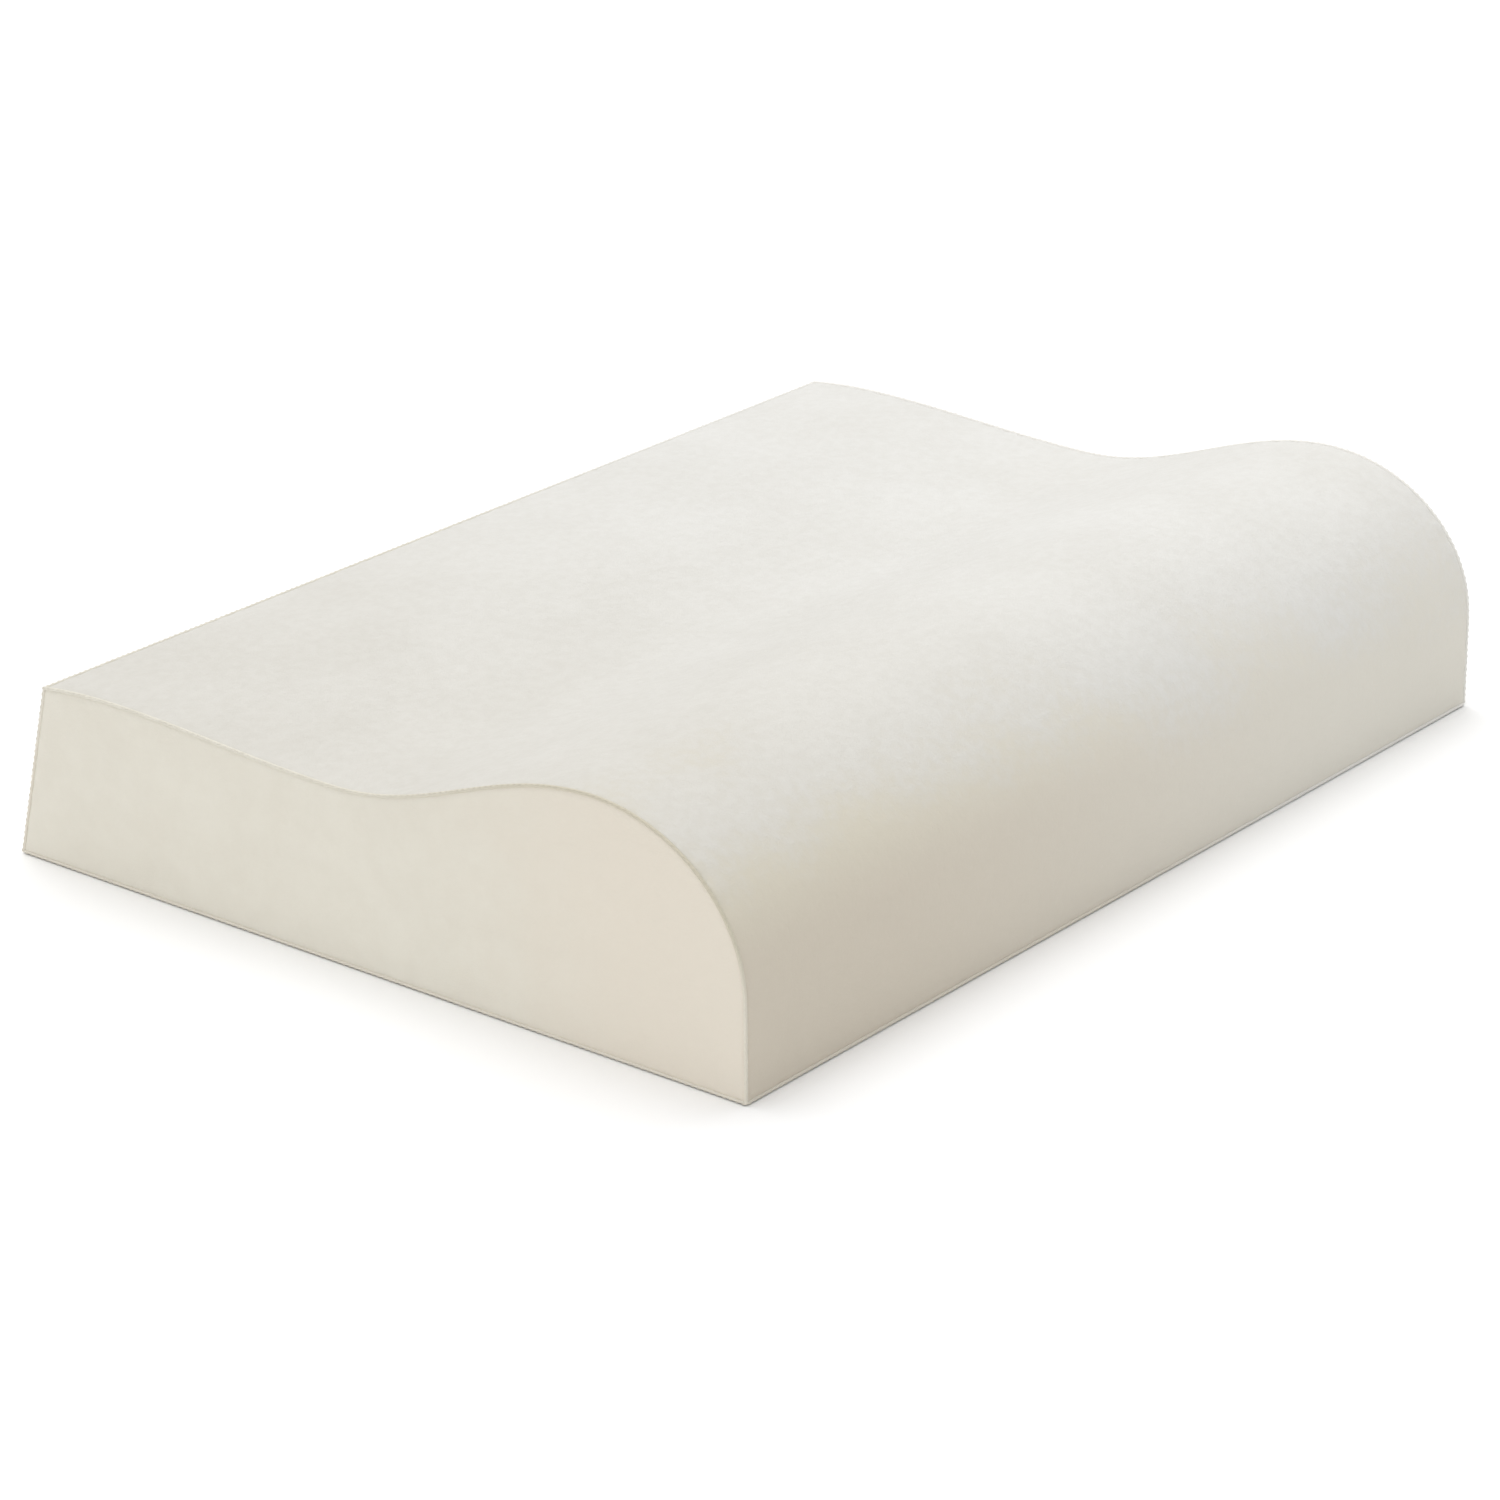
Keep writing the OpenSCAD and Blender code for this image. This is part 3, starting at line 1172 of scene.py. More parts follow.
@dataclass(frozen=True)
class Thread:
    """Spun thread or moulded nylon: fine twist along it, and small tone changes from stitch to stitch."""

    name: str
    light: Colour
    dark: Colour
    twist: float = 0.35 * MM
    twist_depth: float = 0.05 * MM
    change: float = 4 * MM
    rough: float = 0.6
    sheen: float = 0.15
    places: tuple[tuple[str, float, float, Colour], ...] = ()

    def material(self) -> bpy.types.Material:
        """Build the thread's material.

        Its places paint light and shade by position; each is an axis, where on it a tone starts and where it
        is full, and the tone.

        Returns:
            The material.
        """
        tree = Tree(bpy.data.materials.new(self.name))
        where = tree.place()
        twist = tree.waves(where, "DIAGONAL", self.twist)
        change = tree.noise(where, self.change, 2)
        tone = tree.sum(tree.spread(change, 0, 0.6), tree.ramp(twist, 0, 1, 0, 0.4))
        colour = tree.mix(tone, self.dark, self.light)
        axes = tree.axes(where) if self.places else None
        # Painted light and shade: each place blends a lighter or darker tone in along its axis.
        for axis, start, full, light_and_shade_tone in self.places:
            colour = tree.mix(tree.ramp(axes.outputs[axis], start, full, 0, 1), colour, light_and_shade_tone)
        tree.into("Base Color", colour)
        tree.into("Roughness", tree.spread(change, self.rough - 0.08, self.rough + 0.08))
        tree.into("Normal", tree.bump(twist, self.twist_depth))
        tree.set(Sheen_Weight=self.sheen, Specular_IOR_Level=0.4)
        return tree.material


@dataclass(frozen=True)
class Metal:
    """Plated die-cast metal with small scratches and dull patches."""

    light: Colour
    dark: Colour
    patch: float = 3 * MM
    scratch: float = 2 * MM
    scratch_depth: float = 0.004 * MM
    rough: float = 0.32

    def material(self) -> bpy.types.Material:
        """Build the metal's material.

        Returns:
            The material.
        """
        tree = Tree(bpy.data.materials.new("plated_zinc"))
        patch = tree.noise(tree.place(), self.patch, 4)
        scratch = tree.noise(tree.place((1, 14, 3)), self.scratch)
        tree.into("Base Color", tree.mix(tree.spread(patch, 0, 1), self.dark, self.light))
        tree.into("Roughness", tree.ramp(scratch, 0.35, 0.7, self.rough - 0.06, self.rough + 0.2))
        tree.into("Normal", tree.bump(scratch, self.scratch_depth))
        tree.set(Metallic=1.0)
        return tree.material


RECIPES: dict[Slot, Velour | Woven | Foam | Thread | Metal] = {
    Slot.TOP: Velour(
        Slot.TOP,
        light=srgb(220, 219, 215),
        dark=srgb(209, 207, 201),
        # Painted shade: these front colours and the range below paint the shaded front lobe.
        front=srgb(218, 213, 198),
        low_front_shade=srgb(216, 208, 194),
        far_front_shade=srgb(219, 215, 204),
        front_shade_z=(0.103, 0.062),
        # Painted shade: the top darkens towards the left end.
        near=(0.91, 0.895, 0.865),
    ),
    Slot.SIDE: Velour(
        Slot.SIDE,
        light=srgb(225, 221, 209),
        dark=srgb(219, 214, 201),
        # Painted shade: a darker, warmer tone towards the front of the end panels.
        front=srgb(224, 216, 202),
        blotch=12 * MM,
        blotch_depth=0.15 * MM,
        nap_depth=0.12 * MM,
        nap=0.6 * MM,
        sheen=0.15,
    ),
    Slot.BASE: Woven("base_cloth", srgb(216, 212, 203), srgb(198, 193, 182)),
    Slot.LINER: Woven(
        "liner_knit", srgb(236, 235, 232), srgb(212, 211, 207), across=1.1 * MM, depth=0.2 * MM
    ),
    Slot.FOAM: Foam(srgb(240, 236, 222), srgb(214, 205, 178)),
    Slot.THREAD: Thread(
        "seam_thread",
        srgb(225, 221, 209),
        srgb(216, 211, 197),
        # Painted shade: the seam darkens towards the front lobe (Y), but not near the base (Z); painted
        # light: it lightens towards the right end (X).
        places=(
            ("Y", 0.06, -0.14, srgb(201, 194, 175)),
            ("Z", 0.075, 0.03, srgb(221, 215, 201)),
            ("X", -0.05, 0.15, srgb(230, 228, 222)),
        ),
    ),
    Slot.TAPE: Woven("zip_tape", srgb(232, 228, 219), srgb(208, 203, 190), across=0.8 * MM, along=0.45 * MM),
    Slot.COIL: Thread("zip_coil", srgb(236, 233, 226), srgb(214, 210, 200), rough=0.38, sheen=0.0),
    Slot.METAL: Metal(srgb(214, 213, 210), srgb(170, 168, 164)),
    Slot.LABEL: Woven(
        "label_satin",
        srgb(234, 233, 229),
        srgb(218, 217, 212),
        across=0.3 * MM,
        along=1.2 * MM,
        depth=0.03 * MM,
        rough=0.42,
        sheen=0.0,
        anisotropic=0.5,
    ),
}
TOPSTITCH = Thread("topstitch_thread", srgb(204, 195, 173), srgb(176, 167, 145))
BARTACK = Thread("bartack_thread", srgb(208, 199, 178), srgb(182, 173, 151))


@dataclass
class Finishes:
    """One material for each of the record's slots, built the first time that it is asked for."""

    made: dict[Slot, bpy.types.Material] = field(default_factory=dict)

    def on(self, piece: Piece, slot: Slot, body: Body, *nodes: str, own: Thread | None = None) -> Piece:
        """Finish a piece and put it on its body.

        Args:
            piece: The piece.
            slot: The record's slot that it takes its finish from.
            body: The body that it rides.
            nodes: The CAD nodes that it stands for, which are hidden.
            own: A finish of its own, in place of the slot's.

        Returns:
            The piece.
        """
        if slot not in self.made:
            self.made[slot] = RECIPES[slot].material()
        piece.data.materials.clear()
        piece.data.materials.append(own.material() if own else self.made[slot])
        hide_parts(*nodes)
        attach(piece, body.value)
        LOG.info("%-24s %6d faces, rides %s", piece.name, len(piece.data.polygons), body.value)
        return piece


# ---------------------------------------------------------------- the cover


@dataclass(frozen=True)
class StitchRow:
    """Rows of one stitch: a short thread whose ends dip into the cloth."""

    length: float
    radius: float
    pitch: float = 3.0 * MM

    def sew(self, name: str, frames: np.ndarray) -> Piece:
        """Sew the stitches.

        Args:
            name: The piece's name.
            frames: A 4 x 4 matrix for each stitch, with x along it and z outwards.

        Returns:
            The new piece.
        """
        part = np.linspace(-1, 1, 7)
        path = np.c_[part * self.length / 2, np.zeros(7), -(np.abs(part) ** 3) * self.radius * 1.6]
        return repeated(name, tube("one_stitch", path, self.radius, False, 1), frames)


@dataclass
class Cover:
    """The sewn cover: top, base, two ends and the two rear strips, with the seams that join them."""

    outline: Outline
    rear: RearFace
    finishes: Finishes
    half: float = field(init=False)
    groove: float = 1.3 * MM
    reach: float = 3.4 * MM
    cloth_t: float = 1.1 * MM
    strip_t: float = 0.6 * MM
    step: float = 2.6 * MM
    pull: float = 0.9 * MM
    pull_reach: float = 7.0 * MM
    flat_border: float = 2.0 * MM
    full_border: float = 45.0 * MM
    top_swell: float = 1.3 * MM
    top_wave: float = 0.5 * MM
    top_gathers: tuple[float, float] = (0.42 * MM, 0.2 * MM)
    end_swell: float = 1.2 * MM
    end_wave: float = 0.4 * MM
    end_gathers: float = 0.22 * MM
    strip_gathers: tuple[float, float] = (0.2 * MM, 0.15 * MM)
    cord_r: float = 0.75 * MM
    cord_in: float = 1.0 * MM
    stitch_in: float = 0.42 * MM
    stitch: StitchRow = StitchRow(1.5 * MM, 0.2 * MM)
    spine_share: tuple[float, float] = (0.74, 0.16)
    spine_level: float = 0.4
    spine_rings: int = 16
    slot_half: float = 5.0 * MM
    slot_end: float = 220.0 * MM
    strip_gap: float = 0.06 * MM
    fold_r: float = 0.75 * MM
    fold_depth: float = 9.0 * MM
    row_up: float = 7.2 * MM
    row_sunk: float = 0.18 * MM
    row_wide: float = 0.9 * MM

    def __post_init__(self) -> None:
        """Take the half length from the frame."""
        self.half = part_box("seam_right_end")[1].x

    def depth(self, distance: np.ndarray, run: np.ndarray, gather: float) -> np.ndarray:
        """How far in from the pillow's face the cloth lies beside a seam.

        Args:
            distance: Distance from the seam.
            run: Distance along it.
            gather: The height of its gathers.

        Returns:
            The depth, in metres.
        """
        drawn = self.pull * np.exp(-distance / self.pull_reach) * (1 - np.exp(-distance / self.reach))
        return self.groove * roll(distance, self.reach) + drawn - puckers(distance, run, gather)

    def settle(self, sheet: Sheet, swell: Swell, border: np.ndarray, wave: float) -> None:
        """Move a sheet outwards by its swelling and its slow waves.

        Args:
            sheet: The sheet, which is changed.
            swell: The cloth simulation.
            border: Each point's distance from the nearest seam.
            wave: The height of the slow waves.
        """
        room = smooth_step(border, self.flat_border, self.full_border)
        out = swell.offsets(sheet) + drift(sheet.uv[..., 0], sheet.uv[..., 1], wave)
        sheet.points += sheet.normals * (out * room)[..., None]

    def columns(self) -> np.ndarray:
        """The x of a long panel's columns, close together at both ends."""
        wide = 2 * (self.half - self.groove)
        return seam_steps(wide, self.step) - wide / 2

    def top_panel(self) -> Piece:
        """The long top panel, from the front foot up over the lobe and the hollow to the rear top edge.

        Returns:
            The new piece.
        """
        length = self.outline.length - 2 * self.groove
        rows = seam_steps(length, self.step)
        x = self.columns()
        line, normal = self.outline.at(rows + self.groove)
        points = np.zeros((len(rows), len(x), 3))
        points[..., 0] = x
        points[..., 1:] = line[:, None]
        normals = np.zeros_like(points)
        normals[..., 1:] = normal[:, None]
        run, across = np.meshgrid(rows, x, indexing="ij")
        from_end = x[-1] - np.abs(across)
        from_edge = np.minimum(run, length - run)
        at_end, at_edge = self.top_gathers
        depth = np.maximum(self.depth(from_end, run, at_end), self.depth(from_edge, across, at_edge))
        points -= normals * depth[..., None]
        sheet = Sheet(points, normals, np.stack([across, run], axis=2))
        self.settle(sheet, Swell(self.top_swell), np.minimum(from_end, from_edge), self.top_wave)
        piece = sheet.piece("cover_top", self.cloth_t)
        return piece

    def base_panel(self) -> Piece:
        """The flat base panel, which lies on the table.

        Returns:
            The new piece.
        """
        rows = seam_steps(self.outline.deep - 2 * self.groove, self.step * 2)
        x = self.columns()
        points = np.zeros((len(rows), len(x), 3))
        run, across = np.meshgrid(rows, x, indexing="ij")
        points[..., 0] = across
        points[..., 1] = run + self.outline.corners[0][0] + self.groove
        from_seam = np.minimum(x[-1] - np.abs(across), np.minimum(run, rows[-1] - run))
        points[..., 2] = self.groove * roll(from_seam, self.reach)
        normals = np.zeros_like(points)
        normals[..., 2] = -1
        piece = Sheet(points, normals, np.stack([across, run], axis=2)).piece("cover_base", self.cloth_t)
        return piece

    def end_rings(self) -> np.ndarray:
        """Rings that close in from an end panel's rim to its spine, a small outline along its middle.

        Returns:
            The (y, z) points of each ring.
        """
        rim = self.outline.ring(self.groove)
        level = self.spine_level * self.outline.top[:, 1].max()
        across, up = self.spine_share
        spine = np.stack([across * rim[:, 0], level + up * (rim[:, 1] - level)], axis=1)
        inward = (self.outline.ring(self.groove + MM) - rim) / MM
        share = 1 / ((spine - rim) * inward).sum(axis=1)
        share = sum(np.roll(share, k) for k in range(-6, 7)) / 13
        near = np.array([0, 0.15, 0.35, 0.6, 0.95, 1.4, 2.0, 2.7, 3.6, 4.8]) * MM
        rings = [rim + (spine - rim) * (share * d)[:, None] for d in near]
        last = rings[-1] - spine
        rings += [spine + last * t for t in 1 - np.linspace(0, 1, self.spine_rings + 1)[1:]]
        return np.stack(rings)

    def end_panel(self, side: int) -> Piece:
        """An end panel, cut to the pillow's outline.

        Args:
            side: -1 for the left end, 1 for the right.

        Returns:
            The new piece.
        """
        flat = self.end_rings()
        rim = flat[0]
        onward = np.roll(rim, -1, axis=0)
        border = distance_to(flat, rim)
        run = np.linalg.norm(onward - rim, axis=1).cumsum()
        depth = self.depth(border, np.tile(run, (len(flat), 1)), self.end_gathers)
        points = np.concatenate([(side * (self.half - depth))[..., None], flat], axis=2)
        normals = np.zeros_like(points)
        normals[..., 0] = side
        sheet = Sheet(points, normals, flat.copy(), closed=True)
        self.settle(sheet, Swell(self.end_swell), border, self.end_wave)
        piece = sheet.piece("cover_end_left" if side < 0 else "cover_end_right", self.cloth_t)
        area = abs((rim[:, 0] * onward[:, 1] - rim[:, 1] * onward[:, 0]).sum()) / 2
        return piece

    def strip_column(
        self, x: float, edge: float, share: np.ndarray
    ) -> tuple[np.ndarray, np.ndarray, np.ndarray]:
        """One column of a rear strip: down its face from the seam, round its folded edge, and back inside.

        Args:
            x: The column's place along the pillow.
            edge: How far from the zip's middle line the folded edge lies there.
            share: The shares of the face's height at which its points lie.

        Returns:
            How far up, how far out, and how far along the cloth each point lies.
        """
        start = self.rear.half_high - self.groove
        reach = start - edge - self.fold_r
        along = share * reach
        face = start - along
        far = np.full_like(along, self.half - self.groove - abs(x))
        at_edge, at_end = self.strip_gathers
        sunk = np.maximum(
            self.depth(along, np.full_like(along, x), at_edge), self.depth(far, along, at_end)
        )
        sewn = self.row_sunk * np.exp(-(((face - self.row_up) / self.row_wide) ** 2))
        low = max(float(sunk[-1]), 0.0)
        turn = np.linspace(0, math.pi, 9)[1:]
        back = np.linspace(0, self.fold_depth, 5)[1:]
        inner = edge + self.fold_r
        up = np.concatenate([face, inner - self.fold_r * np.sin(turn), inner + back])
        curl = self.fold_r * (np.cos(turn) - 1) - low
        out = np.concatenate([-sunk - sewn, curl, np.full(len(back), -2 * self.fold_r - low)])
        run = np.concatenate([along, reach + turn * self.fold_r, reach + math.pi * self.fold_r + back])
        return up, out, run

    def rear_strip(self, side: int) -> Piece:
        """A rear strip, whose edge is folded under along the zip's opening.

        Args:
            side: 1 for the strip above the zip, -1 for the one below.

        Returns:
            The new piece.
        """
        ends = np.array([-1, 1])[:, None] * (self.slot_end + np.linspace(-4, 4, 13) * MM)
        x = np.unique(np.round(np.concatenate([self.columns(), ends.ravel()]), 5))
        opened = 1 - smooth_step(np.abs(x), self.slot_end - 1 * MM, self.slot_end + 3 * MM)
        edges = self.strip_gap + (self.slot_half - self.strip_gap) * opened
        high = self.rear.half_high - self.groove - self.slot_half - self.fold_r
        share = np.append(seam_steps(high, self.step)[:-5], high) / high
        columns = [self.strip_column(at, edge, share) for at, edge in zip(x, edges)]
        up, out, run = (np.array(v).T for v in zip(*columns))
        across = np.broadcast_to(x, up.shape)
        points = self.rear.points(across, side * up, out)
        normals = np.broadcast_to(self.rear.outward, points.shape).copy()
        sheet = Sheet(points, normals, np.stack([across, run], axis=2))
        piece = sheet.piece("rear_strip_upper" if side > 0 else "rear_strip_lower", self.strip_t)
        return piece

    def end_seam(self, side: int) -> Piece:
        """The seam round an end panel: the closed edge of both cloths, and the stitches that show in it.

        Args:
            side: -1 for the left end, 1 for the right.

        Returns:
            The new piece.
        """
        cord, mouth = (
            np.c_[np.full(len(flat), side * (self.half - inset)), flat]
            for inset in (self.cord_in, self.stitch_in)
            for flat in [self.outline.ring(inset, 1.5 * MM)]
        )
        rope = tube("rope", cord, self.cord_r, True, 2)
        places = spaced(mouth, self.stitch.pitch, True)
        outward = places - np.array([0.0, 0.0, 0.5 * self.outline.top[:, 1].max()])
        outward[:, 0] = side * np.linalg.norm(outward[:, 1:], axis=1)
        stitches = self.stitch.sew("stitch", frames_along(places, outward))
        return join("end_seam_left" if side < 0 else "end_seam_right", [rope, stitches])

    def long_seam(self, name: str, place: np.ndarray, inward: np.ndarray) -> Piece:
        """A straight seam along the pillow.

        Args:
            name: The piece's name.
            place: The (y, z) of the outline's corner there.
            inward: The direction in (y, z) from the corner into the pillow, with 1 across and 1 up.

        Returns:
            The new piece.
        """
        wide = self.half - self.groove
        x = np.linspace(-wide, wide, 60)
        deep, shallow = (
            np.c_[x, np.tile(place + inward * inset, (len(x), 1))] for inset in (self.cord_in, self.stitch_in)
        )
        rope = tube("rope", deep, self.cord_r, False, 2)
        places = spaced(shallow, self.stitch.pitch)
        outward = np.tile(np.array([0.0, -inward[0], -inward[1]]), (len(places), 1))
        return join(name, [rope, self.stitch.sew("stitch", frames_along(places, outward))])

    def build(self) -> None:
        """Make every piece of the cover."""
        place = self.finishes.on
        place(self.top_panel(), Slot.TOP, Body.PILLOW, "cover_top_panel")
        place(self.base_panel(), Slot.BASE, Body.PILLOW, "cover_bottom_panel")
        place(self.end_panel(-1), Slot.SIDE, Body.PILLOW, "cover_left_end_panel")
        place(self.end_panel(1), Slot.SIDE, Body.PILLOW, "cover_right_end_panel")
        place(self.rear_strip(1), Slot.SIDE, Body.PILLOW, "cover_rear_strip_upper")
        place(self.rear_strip(-1), Slot.SIDE, Body.PILLOW, "cover_rear_strip_lower")
        place(self.end_seam(-1), Slot.THREAD, Body.PILLOW, "seam_left_end")
        place(self.end_seam(1), Slot.THREAD, Body.PILLOW, "seam_right_end")
        for name, node, corner, inward in (
            ("seam_line_front", "seam_front_bottom", self.outline.corners[0], (1, 1)),
            ("seam_line_rear_base", "seam_rear_bottom", self.outline.corners[-1], (-1, 1)),
            ("seam_line_rear_top", "seam_rear_top", self.outline.top[-1], (-1, -1)),
        ):
            place(self.long_seam(name, corner, np.array(inward)), Slot.THREAD, Body.PILLOW, node)


# ---------------------------------------------------------------- the inside


@dataclass
class Filling:
    """The foam block and the knitted liner round it."""

    outline: Outline
    finishes: Finishes
    half: float
    foam_inset: float = 3.6 * MM
    foam_round: float = 7.0 * MM
    liner_inset: float = 2.9 * MM
    liner_round: float = 6.5 * MM
    liner_t: float = 0.5 * MM
    liner_ease: float = 1.02
    base_and_rear: float = 460.0 * MM

    def shape(self, name: str, inset: float, radius: float) -> Piece:
        """A closed block of the pillow's outline with rounded edges.

        Args:
            name: The piece's name.
            inset: How far it stands in from the cover's face.
            radius: How far its edges are rounded.

        Returns:
            The new piece.
        """
        wide = self.half - inset
        turn = np.linspace(0, math.pi / 2, 7)
        left = [(-wide + radius * (1 - math.cos(t)), radius * (1 - math.sin(t))) for t in turn]
        body = [(x, 0.0) for x in np.linspace(-wide + radius, wide - radius, 60)[1:-1]]
        right = [(-x, inward) for x, inward in left[::-1]]
        rings = [
            np.c_[np.full(len(flat), x), flat]
            for x, inward in left + body + right
            for flat in [self.outline.ring(inset + inward, 4 * MM)]
        ]
        count = len(rings[0])
        faces = [
            (start + j, start + count + j, start + count + (j + 1) % count, start + (j + 1) % count)
            for start in range(0, (len(rings) - 1) * count, count)
            for j in range(count)
        ]
        faces.append(tuple(range(count)))
        faces.append(tuple(range(len(rings) * count - 1, (len(rings) - 1) * count - 1, -1)))
        piece = new_piece(name, np.vstack(rings), faces)
        finish_mesh(piece, 60)
        return piece

    def build(self) -> None:
        """Make the foam and the liner."""
        foam = self.shape("foam_block", self.foam_inset, self.foam_round)
        self.finishes.on(foam, Slot.FOAM, Body.PILLOW, "foam_core")
        liner = self.shape("knit_liner", self.liner_inset, self.liner_round)
        self.unwrap(liner)
        modify(liner, "SOLIDIFY", thickness=self.liner_t, offset=-1.0)
        self.finishes.on(liner, Slot.LINER, Body.PILLOW, "inner_liner")

    @staticmethod
    def unwrap(piece: Piece) -> None:
        """Lay a UV map in metres on a piece, seen from above, or from one end where a face stands upright.

        Args:
            piece: The piece.
        """
        layer = piece.data.uv_layers.new(name="cloth")
        for face in piece.data.polygons:
            for loop in face.loop_indices:
                co = piece.data.vertices[piece.data.loops[loop].vertex_index].co
                layer.data[loop].uv = (co.y, co.z) if abs(face.normal.x) > 0.5 else (co.x, co.y + co.z)


# ---------------------------------------------------------------- the zip


@dataclass
class Zip:
    """The zip's fixed pieces in the rear face: tapes, coils, stops and the stitching that holds them."""

    rear: RearFace
    finishes: Finishes
    tape_half: float = 228.0 * MM
    tape_t: float = 0.45 * MM
    tape_depth: float = 1.62 * MM
    selvedge: float = 0.16 * MM
    coil_pitch: float = 1.5 * MM
    coil_wire: float = 0.27 * MM
    coil_up: float = 1.62 * MM
    coil_out: float = -0.5 * MM
    coil_radii: tuple[float, float] = (1.05 * MM, 0.78 * MM)
    coil_tail: float = 0.4 * MM
    stop_long: float = 2.6 * MM
    stop_thick: float = 2.2 * MM
    top_stop_wide: float = 2.2 * MM
    top_stop_up: float = 1.9 * MM
    bottom_stop_wide: float = 6.1 * MM
    row: StitchRow = StitchRow(2.4 * MM, 0.17 * MM)
    row_up: float = 7.2 * MM
    row_half: float = 219.5 * MM
    tack_at: float = 221.6 * MM
    tack_half: float = 7.8 * MM
    tack_zig: float = 0.9 * MM
    tack_r: float = 0.2 * MM
    tack_turns: int = 41

    def tape(self, side: int) -> Piece:
        """A zip tape: a woven band with a thicker selvedge.

        Args:
            side: 1 for the tape above the opening, -1 for the one below.

        Returns:
            The new piece.
        """
        x = np.linspace(-self.tape_half, self.tape_half, 229)
        up = np.array([0.45, 1.0, 2.2, 3.4, 5, 7.2, 9, 11, 12.6, 13.2, 13.8, 14.2, 14.5]) * MM
        edge = self.selvedge
        lift = np.array([0, 0, 0, 0, 0, -0.05 * MM, 0, 0, 0, 0.75 * edge, edge, 0.75 * edge, 0])
        across = np.broadcast_to(x, (len(up), len(x)))
        height = np.broadcast_to(up[:, None], across.shape)
        out = (lift - self.tape_depth)[:, None] + 0.04 * MM * np.sin(across * 410 + height * 300)
        points = self.rear.points(across, side * height, out)
        normals = np.broadcast_to(self.rear.outward, points.shape).copy()
        sheet = Sheet(points, normals, np.stack([across, height], axis=2))
        piece = sheet.piece("tape_upper" if side > 0 else "tape_lower", self.tape_t)
        return piece

    def coil(self, side: int) -> Piece:
        """A row of zip teeth: one nylon thread wound in a flattened coil along a tape's edge.

        Args:
            side: 1 for the coil above the opening, -1 for the one below.

        Returns:
            The new piece.
        """
        low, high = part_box("zip_coil_upper")
        long = high.x - low.x
        turns = round(long / self.coil_pitch)
        turn = np.linspace(0, turns * 2 * math.pi, turns * 12 + 1)
        x = low.x + self.coil_tail + turn / (2 * math.pi) * (long - 2 * self.coil_tail) / turns
        x = x + (0.0 if side > 0 else self.coil_pitch / 4)
        up = self.coil_up - self.coil_radii[0] * np.cos(turn)
        out = self.coil_out + self.coil_radii[1] * np.sin(turn)
        path = self.rear.points(x, side * up, out)
        piece = tube("coil_upper" if side > 0 else "coil_lower", path, self.coil_wire, False, 1)
        finish_mesh(piece, 70)
        return piece

    def clamp(self, name: str, wide: float, x: float, up: float) -> Piece:
        """A crimped metal stop: a bevelled block with a groove pressed across it.

        Args:
            name: The piece's name.
            wide: Its height across the zip.
            x: Where its middle lies.
            up: How far its middle lies above the zip's middle line.

        Returns:
            The new piece.
        """
        long = self.stop_long
        piece = block((long, wide, self.stop_thick), (0, -up, -0.5 * MM))
        piece.name = name
        open_to_edit(piece)
        for share in (-0.18, 0.18):
            cut((share * long, -up, 0), (1, 0, 0))
        select_faces(piece, lambda c, n: abs(c.x) < 0.1 * long and n.z > 0.9)
        bpy.ops.transform.translate(value=(0, 0, -0.35 * MM))
        bpy.ops.object.mode_set(mode="OBJECT")
        round_edges(piece, 0.18 * MM, 3, 30)
        finish_mesh(piece, 40)
        return self.rear.stand(piece, x)

    def topstitching(self) -> Piece:
        """Two rows of stitches that hold the tapes to the strips.

        Returns:
            The new piece.
        """
        x = np.arange(-self.row_half, self.row_half, self.row.pitch) + self.row.pitch / 2
        rows = []
        for side in (-1, 1):
            path = self.rear.points(x, np.full_like(x, side * self.row_up), np.full_like(x, -0.02 * MM))
            rows.append(frames_along(path, np.tile(self.rear.outward, (len(x), 1))))
        return self.row.sew("topstitch_rows", np.concatenate(rows))

    def bartacks(self) -> Piece:
        """A dense zigzag of thread across each end of the opening.

        Returns:
            The new piece.
        """
        parts = []
        turns = np.arange(self.tack_turns)
        up = np.linspace(-self.tack_half, self.tack_half, self.tack_turns)
        zig = np.where(turns % 2, self.tack_zig, -self.tack_zig)
        out = 0.12 * MM + 0.06 * MM * np.sin(turns * 2.1)
        for end in (-1, 1):
            path = self.rear.points(end * self.tack_at + zig, up, out)
            parts.append(tube("tack", path, self.tack_r, False, 1))
        piece = join("bartack_pair", parts)
        finish_mesh(piece, 70)
        return piece

    def build(self) -> None:
        """Make the zip's fixed pieces."""
        place = self.finishes.on
        place(self.tape(1), Slot.TAPE, Body.PILLOW, "zip_tape_upper")
        place(self.tape(-1), Slot.TAPE, Body.PILLOW, "zip_tape_lower")
        place(self.coil(1), Slot.COIL, Body.PILLOW, "zip_coil_upper")
        place(self.coil(-1), Slot.COIL, Body.PILLOW, "zip_coil_lower")
        low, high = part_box("zip_top_stops")
        end = (low.x + high.x) / 2
        pair = [self.clamp("top_stop", self.top_stop_wide, end, side * self.top_stop_up) for side in (-1, 1)]
        place(join("top_stop_pair", pair), Slot.METAL, Body.PILLOW, "zip_top_stops")
        bottom = self.clamp("bottom_stop", self.bottom_stop_wide, -end, 0.0)
        place(bottom, Slot.METAL, Body.PILLOW, "zip_bottom_stop")
        place(self.topstitching(), Slot.THREAD, Body.PILLOW, "zip_topstitching", own=TOPSTITCH)
        place(self.bartacks(), Slot.THREAD, Body.PILLOW, "zip_bartacks", own=BARTACK)


